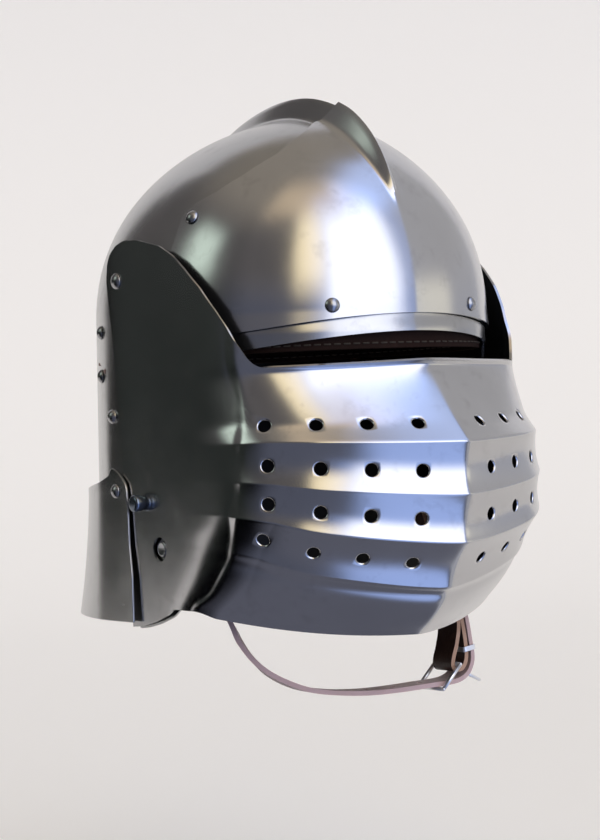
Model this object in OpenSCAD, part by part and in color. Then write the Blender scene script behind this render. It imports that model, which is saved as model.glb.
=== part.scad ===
// Sallet helmet: a bowl with a comb, a brow plate, a bellows visor, a neck lame, a catch, a leather
// lining and a chin strap. Millimetres; -Y is the front, -X the wearer's right and +Z is up.
// The origin is the head seat, where the crown of the head bears inside the lining. The pieces are
// drawn from a datum on the skull's centre line at its widest level; seated() moves them to the seat.

/* [Skull] */
// Half width of the skull at its widest level
skull_half_w = 108; // [104:1:112]
// Length of the skull in front of its centre line
skull_front = 115; // [111:1:119]
// Length of the skull behind its centre line
skull_rear = 134; // [128:1:140]
// Height of the bowl above its widest level
skull_top = 113; // [108:1:118]
// Height of the soft keel line that runs over the crown
keel_h = 8; // [5:0.5:10]
// Height of the comb above the keel line
comb_h = 12; // [8:0.5:14]
// Half width of the comb at its base
comb_half_w = 7; // [5:0.5:9]
// Thickness of the skull's sheet
skull_sheet = 1.6; // [1.2:0.1:2]
// Depth of the brow rim below the widest level
brow_drop = 12.7; // [10:0.5:15]
// Depth of the cheeks below the widest level
cheek_drop = 177; // [172:1:180]
// Depth of the skull's back edge, under the neck lame
nape_drop = 118; // [112:1:124]
// How far the brow rim turns out
rim_flare = 1.6; // [0:0.2:2]
// How far the nape flares at its back edge
nape_flare = 3; // [0:0.5:4]

/* [Brow plate] */
// Thickness of the brow plate
brow_sheet = 1.6; // [1.2:0.1:2]
// Height of the strip of skull that shows below the brow plate
brow_strip = 10; // [7:0.5:12]

/* [Visor] */
// Space between the skull and the visor's wings
wing_gap = 2.6; // [2.4:0.1:3.4]
// How far the visor's keel stands ahead of the skull at the sight
sight_gap = 14.5; // [13:0.5:18]
// How much further the first crest stands out
bellows_swell = 32; // [28:1:35]
// Depth of the valleys between the crests
valley_depth = 3.2; // [1.5:0.1:4]
// Thickness of the visor's sheet
visor_sheet = 1.5; // [1.2:0.1:1.8]
// Depth of the visor's top edge below the widest level
sight_drop = 26.8; // [25:0.2:29]
// Depth of the visor's bottom edge at the keel
chin_drop = 184; // [180:1:187]
// How far the visor's top edge turns out
lip_out = 1.5; // [0:0.1:3]
// Diameter of the breathing holes
vent_d = 7; // [5:0.5:9]

/* [Pivots] */
// Place of the visor's pivots behind the centre line
pivot_y = 19; // [16:0.5:22]
// Height of the visor's pivots above the widest level
pivot_z = 25; // [22:0.5:28]
// Diameter of the pivots' shanks
pivot_d = 5; // [4:0.5:6]
// Diameter of the pivots' heads
pivot_head_d = 9.4; // [8:0.2:12]

/* [Neck lame] */
// Thickness of the neck lame
lame_sheet = 1.5; // [1.2:0.1:1.8]
// Depth of the neck lame's bottom edge
lame_drop = 173; // [168:1:178]
// How far the neck lame flares at the back
lame_flare = 15; // [8:1:22]
// Diameter of the lame rivets' shanks
lame_rivet_d = 4; // [3:0.5:5]

/* [Rivets] */
// Diameter of the rivets' shanks
rivet_d = 3.2; // [2.8:0.1:3.6]
// Diameter of the rivets' domed heads
rivet_head_d = 8.4; // [7:0.2:9.4]
// Height of the rivets' domed heads
rivet_head_h = 2.6; // [1.8:0.1:3.2]
// Diameter of the washers under the rivets' inner ends
washer_d = 9; // [7.5:0.5:11]

/* [Catch] */
// Diameter of the catch stud
stud_d = 9.4; // [8:0.2:10.4]
// Diameter of the visor's hole over the stud
stud_hole_d = 14; // [12:0.5:16]
// Travel of the stud when it is pressed
stud_travel = 4; // [3.4:0.2:5]
// Width of the leaf spring
leaf_w = 13; // [11:0.5:15]
// Thickness of the leaf spring
leaf_t = 1.2; // [0.8:0.1:1.6]
// Diameter of the visor's lifting peg
peg_d = 10; // [8:0.2:11]
// How far the lifting peg stands out of the wing
peg_out = 7.5; // [6:0.5:9]

/* [Lining] */
// Height of the leather band round the brow
band_h = 36; // [34:1:40]
// How far the band shows below the brow rim
band_show = 9.5; // [6:0.5:11]
// Thickness of the band's leather
leather_t = 2.4; // [1.8:0.1:3]
// Number of tongues in the lining
tongues = 8; // [6:1:10]
// Thickness of the tongues
tongue_t = 1.6; // [1.2:0.1:2]
// Radius of the opening between the tongues' tips
crown_r = 28; // [24:1:32]
// Diameter of the lace that draws the tongues together
lace_d = 2; // [1.6:0.1:2.4]
// Space between the top of the head and the bowl
crown_gap = 21; // [20:1:24]

/* [Chin strap] */
// Width of the chin strap
strap_w = 18; // [14:1:19]
// Thickness of the chin strap
strap_t = 2.8; // [2.2:0.1:3]
// Diameter of the buckle's wire
wire_d = 2.6; // [2:0.1:2.8]
// Width of the buckle, between the middles of its side bars
buckle_w = 24; // [23:0.5:26]
// Diameter of the buckle's prong
prong_d = 2.2; // [1.6:0.1:2.4]
// Length of the prong from the buckle's bar
prong_len = 28.5; // [26:0.5:31]

/* [Hidden] */

// fullness of the skull seen from above, and from the side
plan_n = 2.15;
side_n = 2.1;
// half width of the soft keel line, and its share left at the brow
keel_half_w = 70;
keel_share = 0.25;
// space left between sheets that lie on each other, and round a fixed shank
lap = 0.5;
plate_lap = 1.1;
fit = 0.05;
// facets: columns on each half of the bowl, steps from front to back, rows down the walls
skull_cols = 13;
skull_steps = 20;
wall_rows = 5;

// height of the comb along the crown: angle from the front, share of comb_h
comb_line = [
    [30, 0], [36, 0.14], [42, 0.5], [51, 0.8], [61, 1], [80, 1], [90, 0.93],
    [100, 0.76], [113, 0.62], [130, 0.36], [150, 0]
];
// bottom edge of the skull's sides: place behind the centre line, share of cheek_drop
cheek_line = [
    [-68, 0.12], [-62, 0.3], [-52, 0.6], [-40, 0.84], [-30, 0.915], [-20, 0.957], [-8, 0.98],
    [4, 0.994], [14, 1]
];

function sgn(v) = v < 0 ? -1 : 1;
function pw(v, e) = sgn(v) * pow(abs(v), e);
function clamp(v, low = 0, high = 1) = min(high, max(low, v));
function smooth(v) = let (c = clamp(v)) c * c * (3 - 2 * c);
function mix(a, b, f) = a + (b - a) * f;
function unit(v) = v / norm(v);
function flat(rows) = [for (row = rows) for (p = row) p];

// how much the keel line and the comb lift the surface
function keel_lift(x, t) =
    keel_h * pow(clamp(1 - abs(x) / keel_half_w), 1.5)
    * (keel_share + (1 - keel_share) * pow(max(sin(t), 0), 1.5));
function comb_lift(x, t) = comb_h * clamp(1 - abs(x) / comb_half_w) * lookup(t, comb_line);

// bowl: u runs across from the wearer's left, 0, to the right, 180; t from the front, 0, to the back, 180
function bowl(u, t, off = 0) =
    let (
        x = (skull_half_w + off) * pw(cos(u), 2 / plan_n),
        share = pow(max(sin(u), 0), 2 / plan_n),
        lift = keel_lift(x, t) + comb_lift(x, t),
        reach = (cos(t) > 0 ? skull_front : skull_rear) + off
    )
    [
        x,
        -(share * reach + lift) * pw(cos(t), 2 / side_n),
        (share * (skull_top + off) + lift) * pow(max(sin(t), 0), 2 / side_n)
    ];

// half width of the skull's upright sides at a place y along it
function side_w(y, off = 0) =
    let (b = (y < 0 ? skull_front : skull_rear) + off)
    (skull_half_w + off) * pow(1 - pow(clamp(abs(y) / b), plan_n), 1 / plan_n);
// half width at a place on the bowl's side, given from the side
function bowl_w(y, z, off = 0) =
    let (
        reach = (y < 0 ? skull_front : skull_rear) + off,
        g = pow(abs(y) / reach, side_n) + pow(max(z, 0) / (skull_top + off), side_n)
    )
    (skull_half_w + off) * pow(1 - pow(clamp(g), plan_n / side_n), 1 / plan_n);
// angle u of a half width x
function u_of(x) = x < 0 ? 180 - u_of(-x) : acos(pow(clamp(x / skull_half_w), plan_n / 2));
// point on the brow's upright wall at a width x and a height z
function brow_pt(x, z, off = 0) =
    let (p = bowl(u_of(x), 0, off)) [x, p.y - rim_out(z), z];

// the brow rim: its height across the front, and how far it turns out below the brow plate
function rim_z(x) = -brow_drop - 7.5 * pow(x / 87, 2);
function rim_out(z) = rim_flare * smooth((-z - brow_drop + brow_strip) / brow_strip);

// how far the nape's wall stands out at a place
function nape_out(y, z) = nape_flare * clamp(-z / nape_drop) * smooth((y - 15) / 40);
// direction that the upright wall faces at a place of its outline
function plan_dir(p) =
    let (b = p.y < 0 ? skull_front : skull_rear)
    unit([
        sgn(p.x) * pow(abs(p.x) / skull_half_w, plan_n - 1) / skull_half_w,
        sgn(p.y) * pow(abs(p.y) / b, plan_n - 1) / b,
        0
    ]);
// point of the outline in a direction from the centre line
function plan_pt(a, off) =
    let (
        b = (sin(a) < 0 ? skull_front : skull_rear) + off,
        r = pow(pow(abs(cos(a)) / (skull_half_w + off), plan_n) + pow(abs(sin(a)) / b, plan_n), -1 / plan_n)
    )
    [r * cos(a), r * sin(a)];

// columns across the bowl: one on the ridge, one at each side of the comb, the rest spread evenly
function col_u(j) =
    j == 0 ? 90 : j < 0 ? 180 - col_u(-j)
    : u_of(comb_half_w) * (1 - pow((j - 1) / (skull_cols - 1), 1.1));
// bottom edge of the skull at a point of its outline
function low_z(p) =
    p.y < cheek_line[0][0] ? rim_z(p.x)
    : p.y < 0 ? -max(lookup(p.y, cheek_line) * cheek_drop, -rim_z(p.x))
    : mix(-nape_drop, -lookup(p.y, cheek_line) * cheek_drop, smooth((36 - p.y) / 22));

// closed sheet between two grids of points with the same rows and columns
module sheet(outer, inner) {
    rows = len(outer);
    cols = len(outer[0]);
    n = rows * cols;
    function at(i, j) = i * cols + j;
    polyhedron(
        points = concat(flat(outer), flat(inner)),
        faces = concat(
            [for (i = [0:rows - 2], j = [0:cols - 2]) each [
                [at(i, j), at(i + 1, j + 1), at(i, j + 1)], [at(i, j), at(i + 1, j), at(i + 1, j + 1)],
                [n + at(i, j), n + at(i, j + 1), n + at(i + 1, j + 1)],
                [n + at(i, j), n + at(i + 1, j + 1), n + at(i + 1, j)]
            ]],
            [for (j = [0:cols - 2]) each [
                [at(0, j), n + at(0, j + 1), n + at(0, j)], [at(0, j), at(0, j + 1), n + at(0, j + 1)],
                [at(rows - 1, j), n + at(rows - 1, j), n + at(rows - 1, j + 1)],
                [at(rows - 1, j), n + at(rows - 1, j + 1), at(rows - 1, j + 1)]
            ]],
            [for (i = [0:rows - 2]) each [
                [at(i, 0), n + at(i, 0), n + at(i + 1, 0)], [at(i, 0), n + at(i + 1, 0), at(i + 1, 0)],
                [at(i, cols - 1), n + at(i + 1, cols - 1), n + at(i, cols - 1)],
                [at(i, cols - 1), at(i + 1, cols - 1), n + at(i + 1, cols - 1)]
            ]]
        )
    );
}

// moves a piece from the datum to the head seat
seat_z = skull_top + keel_h - skull_sheet - crown_gap;
module seated() {
    translate([0, 0, -seat_z]) children();
}

// turns +Z to a direction at a point
module aimed(p, n) {
    translate(p) rotate([0, acos(n.z / norm(n)), atan2(n.y, n.x)]) children();
}

// the skull's skin at an offset: the bowl's points, then the walls' rows
function skin_points(off) =
    let (
        c = skull_cols,
        outline = concat(
            [for (j = [c:-1:-c]) bowl(col_u(j), 0, off)],
            [for (j = [-c + 1:c - 1]) bowl(col_u(j), 180, off)]
        ),
        edge = [
            for (k = [0:len(outline) - 1])
            low_z(k <= 2 * c ? bowl(col_u(c - k), 0) : bowl(col_u(k - 3 * c), 180))
        ]
    )
    concat(
        [bowl(0, 0, off), bowl(180, 0, off)],
        [for (j = [c - 1:-1:-c + 1], i = [0:skull_steps]) bowl(col_u(j), 180 * i / skull_steps, off)],
        [for (h = [1:wall_rows], k = [0:len(outline) - 1])
            let (z = edge[k] * h / wall_rows, p = outline[k], q = p + plan_dir(p) * nape_out(p.y, z))
            [q.x, q.y - (q.y < -40 ? rim_out(z) : 0), z]]
    );

module skull_shell() {
    c = skull_cols;
    s = skull_steps;
    around = 4 * c;
    dome = 2 + (2 * c - 1) * (s + 1);
    n = dome + around * wall_rows;
    // number of a point of the bowl in column j, from 0 to 2c, and step i; the ends are single points
    function b(j, i) = j == 0 ? 0 : j == 2 * c ? 1 : 2 + (j - 1) * (s + 1) + i;
    // number of a point in the walls' row h, counted round the outline; row 0 is the bowl's own edge
    function w(h, k) =
        let (m = k % around)
        h > 0 ? dome + (h - 1) * around + m : m <= 2 * c ? b(m, 0) : b(4 * c - m, s);
    skin = concat(
        [for (i = [0:s - 1]) each [
            [b(0, i), b(1, i), b(1, i + 1)], [b(2 * c, i), b(2 * c - 1, i + 1), b(2 * c - 1, i)]
        ]],
        [for (j = [1:2 * c - 2], i = [0:s - 1]) each
            [[b(j, i), b(j + 1, i + 1), b(j, i + 1)], [b(j, i), b(j + 1, i), b(j + 1, i + 1)]]],
        [for (h = [0:wall_rows - 1], k = [0:around - 1]) each
            [[w(h, k), w(h + 1, k + 1), w(h, k + 1)], [w(h, k), w(h + 1, k), w(h + 1, k + 1)]]]
    );
    rim = [for (k = [0:around - 1]) each [
        [w(wall_rows, k), n + w(wall_rows, k + 1), w(wall_rows, k + 1)],
        [w(wall_rows, k), n + w(wall_rows, k), n + w(wall_rows, k + 1)]
    ]];
    polyhedron(
        points = concat(skin_points(0), skin_points(-skull_sheet)),
        faces = concat(skin, [for (f = skin) [n + f[2], n + f[1], n + f[0]]], rim)
    );
}

// direction that the bowl's side faces at a place given from the side
function side_n_at(y, z, right) =
    let (
        d = 2,
        f = right ? -1 : 1,
        along = [f * (bowl_w(y + d, z) - bowl_w(y - d, z)), 2 * d, 0],
        up = [f * (bowl_w(y, z + d) - bowl_w(y, z - d)), 0, 2 * d]
    )
    unit(f * cross(along, up));

// brow plate: angle of its back edge from the front, by the angle across, from the ridge to its side
plate_line = [
    [90, 67], [94, 70], [102, 64], [114, 58.5], [126, 57.5], [136, 59], [143, 63.5], [147.5, 65.5],
    [152, 61], [157.6, 55], [163, 42], [167.5, 22]
];
plate_side_u = 167.5;
plate_cols = 26;
plate_steps = 10;
function plate_u(j) =
    abs(j) == 1 ? 90 + sgn(j) * (90 - u_of(comb_half_w))
    : 90 + sgn(j) * (plate_side_u - 90) * pow(abs(j) / (plate_cols / 2), 0.96);
function plate_edge(u) = lookup(u < 90 ? 180 - u : u, plate_line);
// points of the plate in one column: up the brow's wall, then over the bowl
function plate_pt(u, i, off) =
    let (base = bowl(u, 0, off), low = rim_z(base.x) + brow_strip)
    i == 0 ? [base.x, base.y - rim_out(low), low] : bowl(u, plate_edge(u) * (i - 1) / plate_steps, off);
module brow_plate_shell() {
    cols = [-plate_cols / 2:plate_cols / 2];
    rows = [0:plate_steps + 1];
    high = plate_lap + brow_sheet;
    sheet(
        [for (j = cols) [for (i = rows) plate_pt(plate_u(j), i, high)]],
        [for (j = cols) [for (i = rows) plate_pt(plate_u(j), i, plate_lap)]]
    );
}

// visor: the front of each level reaches ahead as a keel, and bends back into the wings
wing_y = 5;
wing_out = skull_half_w + wing_gap + visor_sheet;
sight_front = skull_front + sight_gap;
crest_front = sight_front + bellows_swell;
// crests: depth at the keel, reach ahead of the first crest
crests = [[-75.8, 0], [-105, -1], [-131.8, -5.5], [-157, -22.5]];
chin_back = -51.5;
// from the chin up: sharpness of the keel, and fullness of the section, at a depth
keel_sharp = [[-chin_drop, 42], [crests[3][0], 12], [crests[2][0], 0]];
fullness = [
    [-chin_drop, 7], [crests[3][0], 5.8], [-143.8, 5.6], [crests[2][0], 5.3], [crests[1][0], 5.1],
    [crests[0][0], 4.8], [-64.5, 4.5], [-sight_drop, 5.3]
];
// rise of the levels towards the sides
function level_rise(zk) = 4 - 0.159 * (zk + 76.4);
function side_rise(zk) = 0.115 * clamp(crests[0][0] - zk, 0, 80);
rise_w = 95;
function level(zk, x) =
    zk + level_rise(zk) * pow(clamp(abs(x) / rise_w), 1.4)
    + side_rise(zk) * pow(clamp((abs(x) - 70) / 36, 0, 1.2), 2);
// reach of the keel at a depth, with valleys between the crests
function top_reach(zk) =
    let (low = -sight_drop - 3)
    mix(sight_front, crest_front, pow(clamp((low - zk) / (low - crests[0][0])), 1.25));
function span(zk, i) = (crests[i][0] - zk) / (crests[i][0] - crests[i + 1][0]);
function valley_reach(zk, i, relief) =
    crest_front + mix(crests[i][1], crests[i + 1][1], span(zk, i))
    - relief * valley_depth * pow(sin(180 * clamp(span(zk, i))), 0.8);
function low_reach(zk, relief) =
    let (f = clamp((crests[3][0] - zk) / (crests[3][0] + chin_drop)))
    crest_front + mix(crests[3][1], chin_back, f) + 2.5 * sin(180 * clamp((f - 0.15) / 0.85))
    - relief * 0.6 * sin(180 * clamp(f / 0.3));
function reach(zk, relief) =
    zk >= crests[0][0] ? top_reach(zk)
    : zk >= crests[1][0] ? valley_reach(zk, 0, relief)
    : zk >= crests[2][0] ? valley_reach(zk, 1, relief)
    : zk >= crests[3][0] ? valley_reach(zk, 2, relief)
    : low_reach(zk, relief);
// share of the bellows' relief left at tau, which runs from 1 on the keel to 0 on the wing
function relief_at(tau) = smooth((tau - 0.5) / 0.14);
// the wing follows the skull's side behind wing_y
function wing_w(y) = wing_out - (y > wing_y ? side_w(wing_y) - side_w(y) : 0);
// step between the bellows and the wing
emboss = 1.6;
emboss_at = [
    [-162, -42], [-156, -57], [-144, -68], [-134, -76], [-120, -82], [-98, -88], [-76, -89], [-50, -86],
    [-26, -81]
];
function emboss_line(z) = lookup(z, emboss_at);
function emboss_in(y, z) = emboss * smooth((y - emboss_line(z) + 4) / 8) * clamp((wing_y + 20 - y) / 40);
function wing_face(y, z) = wing_w(y) - emboss_in(y, z);
function visor_skin(tau, zk, z, t) =
    let (
        n = lookup(zk, fullness),
        sharp = lookup(zk, keel_sharp),
        ahead = reach(zk, relief_at(tau)) - sharp + wing_y - 1.12 * t,
        y = wing_y - ahead * tau - sharp * pow(tau, n),
        x = (wing_out - t) * (1 - pow(tau, n))
    )
    [x - emboss_in(y, z) * clamp((0.75 - tau) * 8), y, z];
function tau_of(x, zk) = pow(clamp(1 - x / wing_out), 1 / lookup(zk, fullness));
// half width of the visor's wing at a place of a level
function level_w(y, zk) =
    let (ahead = reach(zk, 0) - lookup(zk, keel_sharp) + wing_y)
    y > wing_y ? wing_w(y)
    : wing_out * (1 - pow(clamp((wing_y - y) / ahead), lookup(zk, fullness)));
// top edge: across the sight, then up the wing's front, over its top and down to its back corner
sight_corner_x = 94.4;
lip_dip = 2.9;
// height of the sight's lower edge
function lip_z(x) =
    let (in = min(x, sight_corner_x))
    level(-sight_drop, in) - lip_dip * (1 - pow(clamp(in / rise_w), 2.4));
wing_edge = [
    [-91, -30.4], [-88.6, -24], [-82.5, -13.5], [-73, 1.9], [-62.4, 15.8], [-50, 27.5], [-40, 35.5],
    [-27, 42], [-5, 47], [9, 48], [18, 46], [26, 41.5], [31, 36], [33, 25]
];
wing_back = [
    [-180, 17], [-90, 20.5], [-60, 22], [-40, 23.5], [-12, 27], [18, 32], [25, 33], [48, 33]
];
// bottom edge of the wing: the back lobe, the cusp and the rise to the front
wing_foot = [
    [-50, -165.2], [-40, -165], [-30, -164.4], [-25.6, -164.5], [-19, -168.2], [-7, -172.1],
    [3, -174.3], [11, -175.5], [33, -176.5]
];
chin_rise = 18.5;
function foot_z(x, y) =
    let (front = -chin_drop + chin_rise * pow(clamp(x / wing_out), 2.1))
    mix(lookup(y, wing_foot), front, smooth((-42 - y) / 12));
// columns: from the keel to the sight's corner, on to the wing, and along it
corner_col = 9;
front_cols = 14;
wing_cols = 7;
wing_tau = 0.33;
sight_tau = tau_of(sight_corner_x, -sight_drop);
function tau_at(j) =
    j <= corner_col ? 1 - (1 - sight_tau) * pow(j / corner_col, 1.25)
    : mix(sight_tau, wing_tau, (j - corner_col) / (front_cols - corner_col));
// rows of the visor, as depths at the keel: the lip, the band above the first crest, the bellows, the chin
top_rows = [0, 3, 12, 21, 30, 40];
keel_rows = concat(
    [for (d = top_rows) -sight_drop - d],
    [for (i = [0:2], f = [0, 0.22, 0.5, 0.78]) mix(crests[i][0], crests[i + 1][0], f)],
    [for (f = [0, 0.15, 0.32, 0.65, 1]) mix(crests[3][0], -chin_drop, f)]
);
visor_rows = len(keel_rows);
function visor_pt(j, i, t) =
    let (
        zk = keel_rows[i],
        tau = j <= front_cols ? tau_at(j) : wing_tau,
        w = j <= front_cols ? 0 : (j - front_cols) / wing_cols,
        x = wing_out * (1 - pow(tau, lookup(zk, fullness))),
        at_top = visor_skin(tau, -sight_drop, 0, 0),
        at_foot = visor_skin(tau, -chin_drop, -chin_drop, 0),
        y_top = mix(at_top.y, 33, w),
        y_foot = mix(at_foot.y, lookup(-170, wing_back), w),
        lip = lip_z(at_top.x),
        z_top = j > corner_col ? lookup(y_top, wing_edge) : lip,
        crest_z = level(crests[0][0], x),
        chin_z = level(crests[3][0], x),
        z = i == 0 ? z_top
            // behind the sight's corner, one row lies up the wing and one near the sight's height
            : j > corner_col && i == 1 ? mix(z_top, lip, 0.5)
            : j > corner_col && i == 2 ? lip - 4
            : i < len(top_rows) ? mix(lip, crest_z, (sight_drop + zk) / (sight_drop + crests[0][0]))
            : i < visor_rows - 4 ? level(zk, x)
            : mix(chin_z, foot_z(at_foot.x, y_foot), (crests[3][0] - zk) / (crests[3][0] + chin_drop)),
        // above the first crest the shape follows the height, so that the wing's edge doesn't lift the front
        zh = i < len(top_rows)
            ? mix(-sight_drop, crests[0][0], clamp((lip - z) / (lip - crest_z))) : zk,
        flare = j <= corner_col && i == 0 ? lip_out : 0,
        at_front = visor_skin(tau, zh, z, t) - [0, flare * tau, 0],
        y = mix(at_front.y, lookup(z, wing_back), w)
    )
    w == 0 ? at_front : [level_w(y, zh) - t - emboss_in(y, z), y, z];
module visor_shell() {
    last = front_cols + wing_cols;
    function side(j, i, t) = let (p = visor_pt(abs(j), i, t)) [sgn(j) * p.x, p.y, p.z];
    sheet(
        [for (j = [-last:last]) [for (i = [0:visor_rows - 1]) side(j, i, 0)]],
        [for (j = [-last:last]) [for (i = [0:visor_rows - 1]) side(j, i, visor_sheet)]]
    );
}
// breathing holes: depth of each row at the keel, places across, and each row's shift from them
vent_rows = [-64.6, -91.8, -118.7, -143.8];
vent_x = [24.3, 51, 75.2, 96.2];
vent_shift = [-2.5, 0, 0.4, 0];
function vent_pt(x, zk) = visor_skin(tau_of(x, zk), zk, level(zk, x), visor_sheet / 2);
module vents() {
    for (row = [0:3], col = vent_x, side = [-1, 1]) {
        zk = vent_rows[row];
        x = col + vent_shift[row];
        p = vent_pt(x, zk);
        a = vent_pt(x - 2, zk) - vent_pt(x + 2, zk);
        b = vent_pt(x, zk + 3) - vent_pt(x, zk - 3);
        n = unit(cross(a, b));
        aimed([side * p.x, p.y, p.z], [side * n.x, n.y, n.z])
            cylinder(d = vent_d, h = 12, center = true, $fn = 32);
    }
}

// neck lame: it wraps the nape outside the wings' back edges
lame_gap = wing_gap + visor_sheet + lap;
lame_y = 26.5;
lame_z = -97;
lame_cols = 24;
lame_rows = 7;
lame_top = [
    [14, -93], [17, -88.9], [20, -85.2], [24, -83.6], [29, -84.5], [34, -88], [50, -92], [75, -95],
    [134, -99]
];
lame_front = [
    [-181, 10], [-146, 10.5], [-128, 13], [-109, 13.6], [-96, 14.7], [-89, 17.4], [-83, 23]
];
// how far the lame stands out from the skull's upright side, past its gap
function lame_out(y, z) =
    let (f = clamp((-z - 100) / (lame_drop - 100)))
    nape_out(y, max(z, lame_z)) + 1.5 * f
    + (lame_flare - 1.5) * pow(f, 1.4) * pow(clamp(y / skull_rear), 2.4);
function lame_pt(f, g, off) =
    let (
        side = abs(2 * f - 1),
        a0 = asin(pow(clamp(14 / skull_rear), plan_n / 2)),
        a = a0 + (90 - a0) * pow(1 - side, 1.15),
        y0 = skull_rear * pow(sin(a), 2 / plan_n),
        z = mix(lookup(y0, lame_top), -lame_drop, g),
        y1 = y0 + (lookup(z, lame_front) - 14) * clamp((60 - y0) / 46),
        out = lame_gap + off + lame_out(y0, z),
        x = side_w(y1) + out * clamp(cos(a) * 1.6),
        y = y1 + out * pow(sin(a), 2)
    )
    [(f < 0.5 ? 1 : -1) * x * (f == 0.5 ? 0 : 1), y, z];
module neck_lame_shell() {
    cols = [0:lame_cols];
    rows = [0:lame_rows];
    sheet(
        [for (j = cols) [for (i = rows) lame_pt(j / lame_cols, i / lame_rows, lame_sheet)]],
        [for (j = cols) [for (i = rows) lame_pt(j / lame_cols, i / lame_rows, 0)]]
    );
}

// both sides of the helmet: 1 is the wearer's left, -1 the right
sides = [-1, 1];
facets = 40;
// drills a straight hole of diameter d through a sheet at p, facing n, from low to high
module drill(p, n, d, low = -14, high = 14) {
    aimed(p, n) translate([0, 0, low]) cylinder(d = d, h = high - low, $fn = facets);
}
// domed head on a flat seat
module dome(d, h) {
    r = (pow(d / 2, 2) + h * h) / (2 * h);
    intersection() {
        translate([0, 0, h - r]) sphere(r = r, $fn = facets);
        cylinder(d = d + 2, h = h + 1, $fn = facets);
    }
}
// rivet: domed head over a seat, shank through the stack below it, and a flat burr at its inner end
burr_h = 1;
seat_gap = 0.15;
module rivet(p, n, grip, d = rivet_d, head_d = rivet_head_d, head_h = rivet_head_h) {
    aimed(p, n) {
        translate([0, 0, seat_gap]) dome(head_d, head_h);
        translate([0, 0, -grip]) cylinder(d = d, h = grip + seat_gap + 0.5, $fn = facets);
        translate([0, 0, -grip - burr_h]) cylinder(d = d * 1.7, h = burr_h, $fn = facets);
    }
}
// depth along n from p to the wall at an offset, by a few steps of closing in
function depth_to(p, n, off, t = 0, k = 0) =
    let (
        q = p - n * t,
        b = (q.y < 0 ? skull_front : skull_rear) + off,
        g = pow(pow(abs(q.x) / (skull_half_w + off), plan_n) + pow(abs(q.y) / b, plan_n), 1 / plan_n)
    )
    k == 6 ? t : depth_to(p, n, off, t + (g - 1) * (q.x * n.x + q.y * n.y), k + 1);
// washer whose outer face lies at depth below p
washer_t = 0.8;
module washer(p, n, depth, d, bore) {
    aimed(p, n) translate([0, 0, -depth - washer_t]) difference() {
        cylinder(d = d, h = washer_t, $fn = facets);
        translate([0, 0, -1]) cylinder(d = bore, h = washer_t + 2, $fn = facets);
    }
}

// lining: a band round the brow, outside it a gap to the skull
band_gap = 1;
band_low = -brow_drop - band_show;
band_out = -skull_sheet - band_gap;
band_in = band_out - leather_t;
// rivets through the lining: at the brow through the plate, and round the back
brow_rivet_x = 48.5;
brow_rivet_z = 2.4;
back_rivet_x = 45;
side_rivet_y = 59;
lining_rivet_z = -3;
strap_rivet_z = -29;
plate_face = plate_lap + brow_sheet;
function brow_rivet_p(side) =
    let (p = bowl(u_of(brow_rivet_x), 0)) [side * brow_rivet_x, p.y, brow_rivet_z];
function wall_rivet_p(side, y, z) =
    let (p = [side * side_w(y), y, z]) p + plan_dir(p) * nape_out(y, z);
back_rivet_y = bowl(u_of(back_rivet_x), 180).y;
lining_rivet_ps = [
    for (side = sides) each
    [wall_rivet_p(side, side_rivet_y, lining_rivet_z), [side * back_rivet_x, back_rivet_y, lining_rivet_z]]
];
strap_rivet_ps = [for (side = sides) wall_rivet_p(side, side_rivet_y, strap_rivet_z)];
// brow plate's corner rivets, given from the side
corner_y = -36;
corner_z = 56;
function corner_p(side) = [side * bowl_w(corner_y, corner_z), corner_y, corner_z];

// reach of the holes across the side walls
wall_cut_in = skull_half_w - 18;
wing_cut_in = skull_half_w - 8;
pivot_cut_in = skull_half_w - 1;
wall_cut_out = skull_half_w + 12;
// visor pivots: a shoulder on the shank fills the space between the wing and the skull
pivot_play = 0.2;
// room between the wing and the head outside it, and between the wing and the shoulder inside it
pivot_head_gap = 0.3;
shoulder_gap = 0.55;
shoulder_d = pivot_d + 3.5;
wing_in_pivot = wing_face(pivot_y, pivot_z) - visor_sheet;
skull_at_pivot = bowl_w(pivot_y, pivot_z - shoulder_d / 2) + 0.1;
skull_in_pivot = bowl_w(pivot_y, pivot_z + washer_d / 2 + 1) - skull_sheet - 0.35;
// cylinder along X from x = a to x = b, on one side of the helmet
module across(side, y, z, a, b, d) {
    translate([side * min(a, b), y, z]) rotate([0, side * 90, 0])
        cylinder(d = d, h = abs(b - a), $fn = facets);
}

// catch: a leaf spring inside the wearer's right cheek carries the stud
stud_y = -14.6;
stud_z = -130.4;
spring_rivet_y = 38.6;
spring_rivet_z = -53.5;
peg_y = 0;
peg_z = -104;
// depth below the skull's face that the stud sinks to when it is pressed
stud_sink = 1.7;
stud_face = side_w(stud_y) + stud_travel - stud_sink;
leaf_gap = 0.5;
leaf_over = 8;
spring_skull = side_w(spring_rivet_y + leaf_w / 2) - skull_sheet;
stud_skull = side_w(stud_y - leaf_over) - skull_sheet;
leaf_a = [-spring_skull + leaf_gap + leaf_t / 2, spring_rivet_y, spring_rivet_z];
leaf_b = [-stud_skull + leaf_gap + leaf_t / 2, stud_y, stud_z];
leaf_len = norm(leaf_b - leaf_a);
leaf_dir = unit(leaf_b - leaf_a);
leaf_face = unit(cross([0, leaf_dir.z, -leaf_dir.y], leaf_dir));
// puts a flat piece into the leaf's plane: X along the leaf from its rivet, Z out of its outer face
module on_leaf() {
    rise = asin(leaf_dir.x);
    turn = atan2(leaf_dir.z, leaf_dir.y);
    translate(leaf_a) rotate([turn, 0, 0]) rotate([0, 0, -rise]) rotate([90, 0, 90])
        mirror([0, 0, 1]) children();
}

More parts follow.
